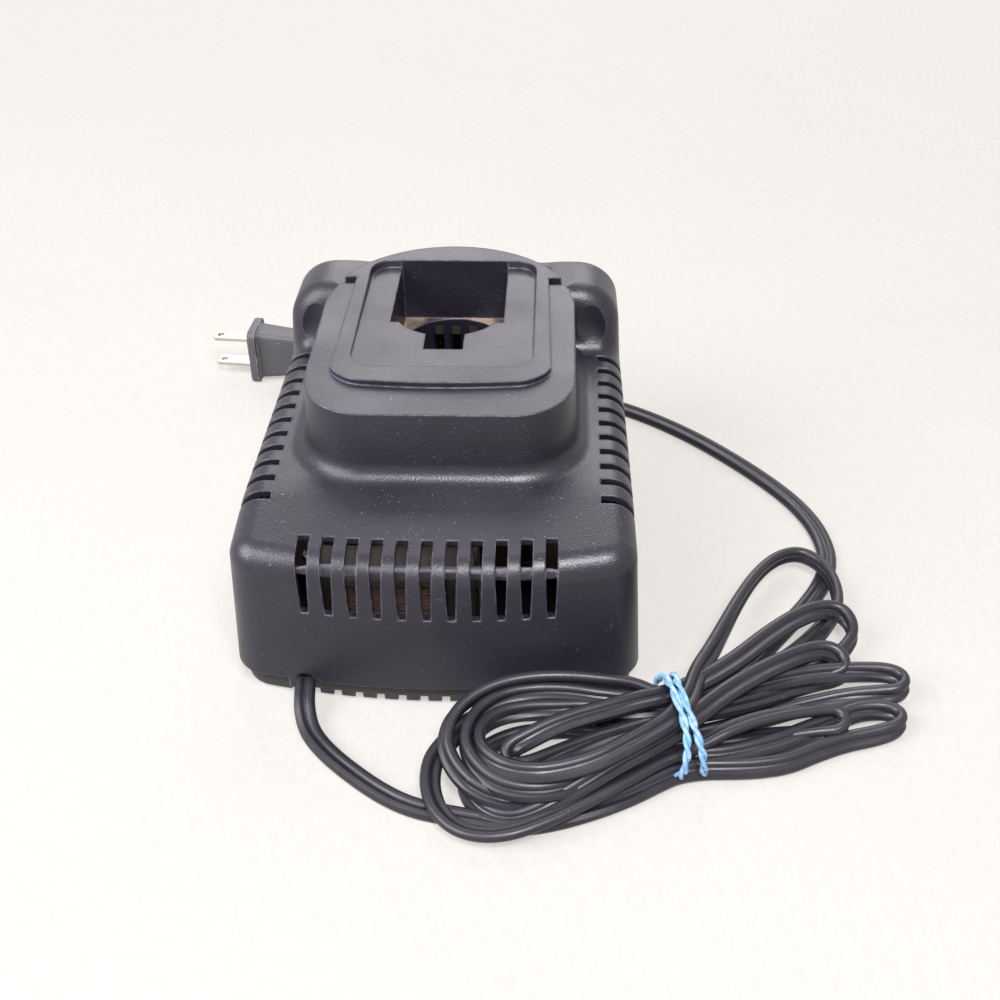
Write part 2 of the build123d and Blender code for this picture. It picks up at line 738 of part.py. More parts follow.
def heat_sink():
    """An aluminium extrusion: an upright plate with fins on its outer side."""
    y0 = sink_y - sink_length / 2
    y1 = sink_y + sink_length / 2
    sink = block(sink_x, sink_x + sink_base, y0, y1, board_top_z, board_top_z + sink_height)
    for i in range(fin_count):
        z = board_top_z + i * (sink_height - fin_thickness) / (fin_count - 1)
        sink += block(sink_x + sink_base, sink_x + sink_base + fin_length, y0, y1, z, z + fin_thickness)
    for y in transistor_ys:
        sink -= along_x(y, transistor_hole_z, sink_x, sink_x + sink_base, screw_diameter)
    return sink


def power_transistor(y):
    """A transistor package with its tab screwed to the heat sink and three legs in the board."""
    x0 = sink_x - transistor_thickness
    half = transistor_width / 2
    tab_height = 6.0
    tab_thickness = 1.3
    body = block(x0, sink_x, y - half, y + half, transistor_low_z, transistor_low_z + transistor_height - tab_height)
    body += block(
        sink_x - tab_thickness, sink_x, y - half, y + half,
        transistor_low_z + transistor_height - tab_height, transistor_low_z + transistor_height,
    )
    for i in (-1, 0, 1):
        leg_y = y + i * 2.54
        body += block(x0 + 1.6, x0 + 2.2, leg_y - 0.4, leg_y + 0.4, board_top_z, transistor_low_z)
    return body - along_x(y, transistor_hole_z, x0, sink_x, screw_diameter)


def transistor_screw(y):
    """A short screw from the tab through the sink's plate."""
    seat = sink_x - 1.3
    shank = along_x(y, transistor_hole_z, seat, sink_x + sink_base, screw_diameter)
    head = along_x(y, transistor_hole_z, seat - 1.8, seat, 5.4)
    slot = block(seat - 1.8, seat - 1.0, y - 3, y + 3, transistor_hole_z - 0.4, transistor_hole_z + 0.4)
    return shank + head - slot


def can(x, y, diameter, height):
    """An electrolytic capacitor: a can with a pressed groove near its foot."""
    body = rod(x, y, board_top_z, board_top_z + height, diameter)
    body = fillet(body.edges().group_by(Axis.Z)[-1], diameter * 0.06)
    groove = Pos(x, y, board_top_z + height * 0.14) * Torus(diameter / 2 + 0.3, 0.8)
    return body - groove


def lying_part(x, y, body_length, body_diameter, lead_rise):
    """An axial part: a round body along X on two bent wires that stand in the board."""
    z = board_top_z + body_diameter / 2 + lead_rise
    wire = 0.8
    reach = body_length / 2 + 1.6
    piece = along_x(y, z, x - body_length / 2, x + body_length / 2, body_diameter)
    piece += along_x(y, z, x - reach, x + reach, wire)
    for side in (-1, 1):
        piece += rod(x + side * reach, y, board_top_z, z + wire / 2, wire)
    return piece


def relay():
    x, y = relay_place
    width, depth, height = relay_size
    case = block(x - width / 2, x + width / 2, y - depth / 2, y + depth / 2, board_top_z, board_top_z + height)
    case = fillet(case.edges().filter_by(Axis.Z), 1.0)
    return chamfer(case.faces().sort_by(Axis.Z)[-1].edges(), 0.5)


def control_chip():
    """A dual in-line chip with its two rows of legs."""
    x, y = chip_place
    length, depth, height = chip_size
    stand = 0.8
    chip = block(x - length / 2, x + length / 2, y - depth / 2 + 0.6, y + depth / 2 - 0.6,
                 board_top_z + stand, board_top_z + stand + height)
    chip -= Pos(x - length / 2, y, board_top_z + stand + height) * Cylinder(1.2, 1.0)
    leg_count = 9
    for i in range(leg_count):
        leg_x = x + (i - (leg_count - 1) / 2) * 2.54
        for side in (-1, 1):
            edge = y + side * depth / 2
            chip += block(leg_x - 0.5, leg_x + 0.5, min(edge, edge - side * 0.8), max(edge, edge - side * 0.8),
                          board_top_z, board_top_z + stand + height / 2)
    return chip


def fuse():
    x, y = fuse_place
    z = board_top_z + fuse_diameter / 2 + 1.0
    glass = along_x(y, z, x - fuse_length / 2, x + fuse_length / 2, fuse_diameter - 0.4)
    for side in (-1, 1):
        end = x + side * fuse_length / 2
        glass += along_x(y, z, min(end, end - side * 5.5), max(end, end - side * 5.5), fuse_diameter)
    return glass


def fuse_clip(side):
    """A spring clip that holds one cap of the fuse from below and both sides."""
    x, y = fuse_place
    z = board_top_z + fuse_diameter / 2 + 1.0
    end = x + side * (fuse_length / 2 - 2.8)
    half = fuse_diameter / 2 + 0.6
    clip = block(end - 2.2, end + 2.2, y - half, y + half, board_top_z, z + 1.6)
    return clip - along_x(y, z, end - 3, end + 3, fuse_diameter) - block(
        end - 3, end + 3, y - half + 1.1, y + half - 1.1, z, z + 4
    )


def indicator_led(x):
    """A round diode with its rim and two legs."""
    z = board_top_z + led_height
    led = rod(x, light_y, board_top_z + 1.0, z - led_diameter / 2, led_diameter)
    led += rod(x, light_y, board_top_z + 1.0, board_top_z + 2.0, led_diameter + 0.9)
    led += Pos(x, light_y, z - led_diameter / 2) * Sphere(led_diameter / 2)
    for leg in (-1.27, 1.27):
        led += rod(x + leg, light_y, board_top_z, board_top_z + 1.2, 0.6)
    return led


def light_pipe(x):
    """A clear rod from just over its diode up through the sloping front panel."""
    bar = rod(x, light_y, pipe_low_z, rim_z, light_diameter)
    collar = rod(x, light_y, pipe_low_z, pipe_low_z + pipe_collar_height, light_diameter + 2)
    foot_y, foot_z = panel_foot
    fall = (foot_z - ear_z) / (foot_y - crest_y)
    proud = 0.8
    over_panel = side_prism(
        [(crest_y, ear_z + proud), (half_length, ear_z + proud + fall * (half_length - crest_y)),
         (half_length, rim_z + 2), (crest_y, rim_z + 2)],
        cord_end_half_width,
    )
    bar -= over_panel
    return bar + collar


# ================================================================ transformer
def box_ring(half_x, half_y, z0, z1, core_half_x, core_half_y, radius):
    """A rounded rectangular ring round the middle leg."""
    ring = raised(Pos(core_x, core_y) * RectangleRounded(2 * half_x, 2 * half_y, radius), z0, z1)
    return ring - raised(Pos(core_x, core_y) * Rectangle(2 * core_half_x, 2 * core_half_y), z0, z1)


def transformer_core():
    """The stack of laminations: outer frame and middle leg."""
    half = core_width / 2
    core = block(core_x - half, core_x + half, core_y - core_stack / 2, core_y + core_stack / 2,
                 core_z, core_z + core_height)
    outer_leg = core_leg / 2
    for side in (-1, 1):
        inner = core_x + side * core_leg / 2
        outer = core_x + side * (half - outer_leg)
        core -= block(min(inner, outer), max(inner, outer), core_y - core_stack, core_y + core_stack,
                      window_low_z, window_high_z)
    return core


def transformer_bobbin():
    """The former: a tube round the middle leg with a flange at each end and one between the coils."""
    leg_x = core_leg / 2
    leg_y = core_stack / 2
    tube_x = leg_x + bobbin_wall
    tube_y = leg_y + bobbin_wall
    bobbin = box_ring(tube_x, tube_y, window_low_z, window_high_z, leg_x, leg_y, 0.8)
    for z in (window_low_z, bobbin_middle_z - bobbin_wall / 2, window_high_z - bobbin_wall):
        bobbin += box_ring(bobbin_edge_x, bobbin_edge_y, z, z + bobbin_wall, leg_x, leg_y, 1.5)
    return bobbin


def winding(z0, z1, thinner):
    """A coil of enamelled wire filling one chamber of the bobbin."""
    tube_x = core_leg / 2 + bobbin_wall
    tube_y = core_stack / 2 + bobbin_wall
    coil = raised(
        Pos(core_x, core_y) * RectangleRounded(2 * (bobbin_edge_x - thinner), 2 * (bobbin_edge_y - thinner), 3.0), z0, z1
    )
    coil = fillet(coil.edges().group_by(Axis.Z)[0] + coil.edges().group_by(Axis.Z)[-1], 0.8)
    return coil - raised(Pos(core_x, core_y) * Rectangle(2 * tube_x, 2 * tube_y), z0, z1)


def transformer_strap():
    """A steel band over the core with a screw foot on each side."""
    half = core_width / 2
    y0 = core_y - strap_width / 2
    y1 = core_y + strap_width / 2
    top_z = core_z + core_height
    strap = block(core_x - half - strap_thickness, core_x + half + strap_thickness, y0, y1,
                  strap_foot_z, top_z + strap_thickness)
    strap = fillet(strap.edges().filter_by(Axis.Y).group_by(Axis.Z)[-1], strap_thickness)
    strap -= block(core_x - half, core_x + half, y0, y1, strap_foot_z, top_z)
    for x in strap_feet_x:
        strap += block(x - strap_foot_length / 2, x + strap_foot_length / 2, y0, y1, strap_foot_z, core_z)
        strap -= rod(x, core_y, strap_foot_z, core_z, strap_screw_diameter)
    return strap


# ================================================================ contacts in the well
def contact_carrier():
    """The well's floor: a plate with a rim that grips the sleeve, and a block for the contacts."""
    plate = raised(well_plan(sleeve_wall + carrier_rim), carrier_z, well_floor_z + carrier_rim_height)
    plate -= raised(well_plan(sleeve_wall), well_floor_z, well_floor_z + carrier_rim_height)
    root = block(-root_half_width, root_half_width, root_near_y, well_y + stem_radius,
                 well_floor_z, well_floor_z + root_height)
    plate += root & raised(well_plan(0), well_floor_z, ledge_z)
    for x in contact_xs:
        half = contact_width / 2 + contact_play
        plate -= block(x - half, x + half, contact_y - contact_play,
                       contact_y + contact_thickness + contact_play + contact_swing_room, carrier_z, ledge_z)
    return plate


def contact_finger(x):
    """A sprung finger: straight leaf, then a bent tip that leans towards the stem."""
    t = contact_thickness
    leaf = block(x - contact_width / 2, x + contact_width / 2, contact_y, contact_y + t, contact_root_z, contact_bend_z)
    tip_y = contact_y - contact_reach
    middle_z = (contact_bend_z + contact_tip_z) / 2
    outline = Polyline(
        [(contact_y, contact_bend_z), (tip_y, middle_z), (contact_y, contact_tip_z),
         (contact_y + t, contact_tip_z), (tip_y + t * 1.1, middle_z), (contact_y + t, contact_bend_z)],
        close=True,
    )
    bent = extrude(Plane.YZ * make_face(outline), amount=contact_width / 2, both=True)
    return leaf + Pos(x, 0, 0) * bent


# ================================================================ cord entry
def cord_bushing():
    """The arched block that fills the notch, bored for the cord."""
    bore = along_y(cord_x, cord_core_z, bushing_face_y, bushing_face_y + bushing_depth, cord_diameter + cord_fit)
    return bushing_block(0) - bore


def cord_clamp():
    """A bar screwed down over the cord inside the tray."""
    bar = block(cord_x - clamp_width / 2, cord_x + clamp_width / 2, clamp_y - clamp_depth / 2,
                clamp_y + clamp_depth / 2, clamp_z, cord_core_z + cord_diameter / 2 + clamp_height)
    bar = fillet(bar.faces().sort_by(Axis.Z)[-1].edges().filter_by(Axis.Y), 1.5)
    bar -= along_y(cord_x, cord_core_z, clamp_y - clamp_depth, clamp_y + clamp_depth, cord_diameter + cord_fit)
    for x in clamp_screws_x:
        bar -= rod(x, clamp_y, clamp_z, cord_core_z + cord_diameter, board_screw_diameter)
    return bar


# ================================================================ wires and cord
def tube(points, diameter):
    """A round tube along straight runs joined by arcs as large as the runs allow."""
    places = [Vector(*point) for point in points]
    runs = [b - a for a, b in zip(places, places[1:])]
    radii = []
    for before, after in zip(runs, runs[1:]):
        half_turn = math.radians(before.get_angle(after) / 2)
        radii.append(arc_share * min(before.length, after.length) / math.tan(half_turn))
    path = FilletPolyline(*places, radius=radii) if radii else Line(*places)
    start = Plane(origin=places[0], z_dir=runs[0])
    body = sweep(start * Circle(diameter / 2), path=path)
    share = body.volume / (math.pi * diameter ** 2 / 4 * path.length)
    least = min(radii) if radii else 0
    print(f"tube {diameter:.1f} mm: length {path.length:.0f} mm, smallest radius {least:.1f} mm, volume {share:.3f}")
    return body


def mains_leads(coil):
    """The cord's two cores from the clamp up to the primary coil."""
    z = bobbin_middle_z - 8
    leads = []
    for i in (-1, 1):
        x = cord_x + i * 1.3 - 1.3
        coil_x = core_x - bobbin_edge_x + 2 * winding_gap
        lead = tube([
            (x, lead_end_y, cord_core_z), (x, lead_end_y + 3.0, cord_core_z), (x, lead_end_y + 2.6, z - 11),
            (x + 1.0, lead_end_y - 2.5, z - 5 + i), (coil_x, lead_end_y - 4.4 + 1.6 * i, z + i),
        ], core_wire)
        leads.append(lead - coil)
    return group(leads)


def secondary_leads(coil):
    """Two wires from the secondary coil down to the board."""
    y = core_y + bobbin_edge_y - 2 * winding_gap
    z = bobbin_middle_z + 6
    down_y = board_near_y + 2.5
    return group([
        tube([(x, y, z), (x, y + 6.0, z - 1), (x, down_y, z - 9), (x, down_y, board_top_z)], core_wire) - coil
        for x in (core_x + 4, core_x + 9)
    ])


def contact_leads():
    """Straight pins from the carrier's underside to the board, one for each contact."""
    return group([rod(x, root_near_y - 3, board_top_z, carrier_z, 1.6) for x in contact_xs])


lead_route = [
    (cord_x, lead_end_y, cord_core_z), (cord_x, -91.5, cord_core_z), (-41.0, -103.0, cord_lie),
    (-34.5, -112.5, cord_lie), (-25.5, -121.5, cord_lie), (-14.0, -130.5, cord_lie),
    (-1.0, -136.8, cord_lie), (13.0, -141.0, cord_lie),
]
tail_route = [
    (128.0, -38.0, cord_lie), (138.0, -22.5, cord_lie), (143.0, -6.0, cord_lie), (141.0, 10.0, cord_lie),
    (134.5, 24.5, cord_lie), (125.0, 39.0, cord_lie), (113.0, 54.0, cord_lie), (99.0, 69.0, cord_lie),
    (84.0, 82.0, cord_lie), (67.5, 93.0, cord_lie), (49.5, 100.5, cord_lie), (30.0, 105.5, cord_lie),
    (10.0, 109.5, cord_lie), (-10.0, 112.5, cord_lie), (-29.5, 115.0, cord_lie), (-44.5, 116.9, 8.4),
    (-57.4, 118.0, plug_face[2]), plug_end,
]
hank_outline = [
    (-4.0, -127.0), (0.0, -141.0), (10.0, -150.5), (26.0, -154.0), (43.0, -148.5), (61.0, -136.5),
    (82.0, -123.0), (103.0, -124.5), (118.0, -121.0), (136.5, -108.0), (154.0, -100.5), (160.5, -91.5),
    (158.0, -80.5), (148.5, -70.5), (148.5, -55.0), (146.0, -39.0), (141.5, -23.0), (131.0, -11.5),
    (120.0, -14.5), (109.0, -29.5), (100.0, -51.0), (90.5, -72.0), (78.0, -90.0), (60.0, -95.5),
    (38.0, -96.5), (17.0, -97.5), (4.0, -105.5), (-2.5, -115.0),
]
heap_outline = [
    (7.0, -107.0), (13.0, -121.0), (30.0, -128.0), (52.0, -126.0), (72.0, -121.5), (86.0, -119.0),
    (93.0, -108.0), (90.0, -95.0), (75.0, -92.0), (56.0, -96.0), (36.0, -97.0), (17.0, -98.0),
]


def heap(outline, height):
    """A closed solid over an outline with softened corners and a softened top edge."""
    plan = fillet(make_face(Polyline(outline, close=True)).vertices(), hank_corner)
    body = raised(plan, 0, height)
    return fillet(body.faces().sort_by(Axis.Z)[-1].edges(), hank_edge)


def at_waist(length, half_width, z0, z1):
    """A box across the tied waist of the hank."""
    box = Pos(0, 0, (z0 + z1) / 2) * Box(length, 2 * half_width, z1 - z0)
    return Pos(waist[0], waist[1]) * Rot(0, 0, waist_turn) * box


def power_cord_hank():
    """The outer shape of the tied turns: a low heap, a higher one over its middle, drawn in at the band."""
    body = heap(hank_outline, hank_low_height) + heap(heap_outline, hank_high_height)
    core = at_waist(band_width, waist_half_width - band_thickness, band_thickness, waist_height - band_thickness)
    return body - (at_waist(band_width, 2 * waist_half_width, 0, 2 * hank_high_height) - core)


def rubber_band():
    """The band round the hank's waist."""
    inside = at_waist(band_width, waist_half_width - band_thickness, band_thickness, waist_height - band_thickness)
    return at_waist(band_width, waist_half_width, 0, waist_height) - inside


# ================================================================ plug
def in_plug_frame(shape):
    """Places a shape whose origin is the plug's face, with +X towards the cord."""
    return Pos(*plug_face) * Rot(0, 0, plug_turn) * shape


def plug_section(x, size, radius):
    return Plane(origin=(x, 0, 0), x_dir=(0, 1, 0), z_dir=(1, 0, 0)) * RectangleRounded(size[0], size[1], radius)


def plug_body():
    """The moulded body: a flange, a slightly tapered grip and a neck round the cord."""
    thick, deep, tall = plug_flange
    flange = extrude(plug_section(0, (deep, tall), 3.0), amount=thick)
    flange = fillet(flange.faces().sort_by(Axis.X)[0].edges(), 1.2)
    grip = loft([plug_section(thick, plug_root, 2.0), plug_section(plug_waist_x, plug_waist, 2.0)])
    neck = loft([plug_section(plug_waist_x, plug_waist, 2.0), plug_section(plug_length, plug_neck, 2.0)])
    body = flange + grip + neck
    for side in (-1, 1):
        body -= Pos(blade_seat / 2, 0, side * blade_spacing / 2) * Box(blade_seat, blade_size[1], blade_size[2])
    return in_plug_frame(body)


def plug_blades():
    """Two flat blades, holed near their bevelled tips."""
    length, width, thickness = blade_size
    blades = []
    for side in (-1, 1):
        blade = Pos((blade_seat - length) / 2, 0, side * blade_spacing / 2) * Box(length + blade_seat, width, thickness)
        tip = blade.faces().sort_by(Axis.X)[0]
        blade = chamfer(tip.edges().filter_by(Axis.Z), 1.4)
        blade = chamfer(blade.faces().sort_by(Axis.X)[0].edges().filter_by(Axis.Y), 0.5)
        blade -= Pos(blade_hole - length, 0, side * blade_spacing / 2) * Cylinder(blade_hole / 2, 2 * thickness)
        blades.append(in_plug_frame(blade))
    return group(blades)


# ================================================================ every node
housing_screws = [
    screw(x, y, head_seat_z, screw_length, screw_diameter, screw_head_diameter, screw_head_height, True)
    for x, y in screw_places
]
board_screws = [
    screw(x, y, board_top_z, board_screw_depth, board_screw_diameter, board_screw_head, board_screw_head_height, False)
    for x, y in board_screw_places
]
strap_screws = [
    screw(x, core_y, core_z, core_z - floor_low_z - blind_floor, strap_screw_diameter, strap_screw_head,
          strap_screw_head_height, False)
    for x in strap_feet_x
]
clamp_top_z = cord_core_z + cord_diameter / 2 + clamp_height
clamp_screws = [
    screw(x, clamp_y, clamp_top_z, clamp_top_z - floor_low_z - blind_floor, board_screw_diameter,
          board_screw_head, board_screw_head_height, False)
    for x in clamp_screws_x
]
primary = winding(window_low_z + bobbin_wall, bobbin_middle_z - bobbin_wall / 2, winding_gap)
secondary = winding(bobbin_middle_z + bobbin_wall / 2, window_high_z - bobbin_wall, winding_gap)
hank = power_cord_hank()
plug = plug_body()
nodes = {
    "top_housing": top_housing(),
    "base_tray": base_tray(),
    "rubber_feet": group([rubber_foot(x, y) for x, y in foot_places]),
    "housing_screws": group(housing_screws),
    "circuit_board": circuit_board(),
    "insulating_sheet": insulating_sheet(),
    "board_screws": group(board_screws),
    "heat_sink": heat_sink(),
    "power_transistors": group([power_transistor(y) for y in transistor_ys]),
    "transistor_screws": group([transistor_screw(y) for y in transistor_ys]),
    "filter_capacitors": group([can(x, y, capacitor_diameter, capacitor_height) for x, y in capacitor_places]),
    "small_capacitors": group([can(x, y, small_cap_diameter, small_cap_height) for x, y in small_cap_places]),
    "rectifier_diodes": group([
        lying_part(diode_x, diode_first_y + i * diode_pitch, diode_length, diode_diameter, 1.0)
        for i in range(diode_count)
    ]),
    "resistors": group([lying_part(x, y, resistor_length, resistor_diameter, 0.3) for x, y in resistor_places]),
    "relay": relay(),
    "control_chip": control_chip(),
    "fuse": fuse(),
    "fuse_clips": group([fuse_clip(-1), fuse_clip(1)]),
    "indicator_leds": group([indicator_led(x) for x in light_xs]),
    "light_pipe_red": light_pipe(light_xs[0]),
    "light_pipe_green": light_pipe(light_xs[1]),
    "transformer_core": transformer_core(),
    "transformer_bobbin": transformer_bobbin(),
    "primary_winding": primary,
    "secondary_winding": secondary,
    "transformer_strap": transformer_strap(),
    "transformer_screws": group(strap_screws),
    "contact_carrier": contact_carrier(),
    "contact_positive": contact_finger(contact_xs[0]),
    "contact_negative": contact_finger(contact_xs[1]),
    "contact_sense": contact_finger(contact_xs[2]),
    "contact_leads": contact_leads(),
    "mains_leads": mains_leads(primary),
    "secondary_leads": secondary_leads(secondary),
    "cord_bushing": cord_bushing(),
    "cord_clamp": cord_clamp(),
    "clamp_screws": group(clamp_screws),
    "power_cord_lead": tube(lead_route, cord_diameter) - hank,
    "power_cord_hank": hank,
    "power_cord_tail": tube(tail_route, cord_diameter) - hank - plug,
    "rubber_band": rubber_band(),
    "plug_body": plug,
    "plug_blades": plug_blades(),
}
for name, shape in nodes.items():
    export_step(shape, f"parts/{name}.step")
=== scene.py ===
import bpy
import math
from mathutils import Matrix, Vector


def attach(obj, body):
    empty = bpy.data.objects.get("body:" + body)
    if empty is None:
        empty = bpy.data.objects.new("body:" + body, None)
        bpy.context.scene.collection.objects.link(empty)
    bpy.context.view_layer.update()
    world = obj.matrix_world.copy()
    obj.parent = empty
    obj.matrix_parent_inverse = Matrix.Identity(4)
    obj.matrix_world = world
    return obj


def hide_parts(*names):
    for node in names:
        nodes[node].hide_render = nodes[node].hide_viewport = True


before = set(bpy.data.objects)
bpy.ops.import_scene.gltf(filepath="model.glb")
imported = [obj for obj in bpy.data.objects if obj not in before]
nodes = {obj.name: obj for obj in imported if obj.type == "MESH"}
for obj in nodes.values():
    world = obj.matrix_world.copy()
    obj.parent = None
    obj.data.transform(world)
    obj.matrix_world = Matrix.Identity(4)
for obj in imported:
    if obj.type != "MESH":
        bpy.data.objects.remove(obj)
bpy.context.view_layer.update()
bpy.ops.object.select_all(action="DESELECT")


# ================================================================ viewpoint
# The charger is seen from its cord end, a little from its right and 37 degrees from above,
# through a standard lens.
camera_place = Vector((0.0396, -0.4226, 0.3366))
tilt_down, turn, roll = math.radians(36.81), math.radians(2.85), math.radians(-0.93)
look = Vector((
    -math.sin(turn) * math.cos(tilt_down),
    math.cos(turn) * math.cos(tilt_down),
    -math.sin(tilt_down),
))
level = Vector((math.cos(turn), math.sin(turn), 0.0))
upward = level.cross(look)
right = level * math.cos(roll) + upward * math.sin(roll)
up = upward * math.cos(roll) - level * math.sin(roll)
bpy.ops.object.camera_add()
camera = bpy.context.object
camera.name = "camera"
camera.data.sensor_width = 36.0
camera.data.lens = 49.9
camera.data.clip_start = 0.01
camera.data.clip_end = 20.0
camera.matrix_world = Matrix((
    (right.x, up.x, -look.x, camera_place.x),
    (right.y, up.y, -look.y, camera_place.y),
    (right.z, up.z, -look.z, camera_place.z),
    (0, 0, 0, 1),
))
bpy.context.scene.camera = camera


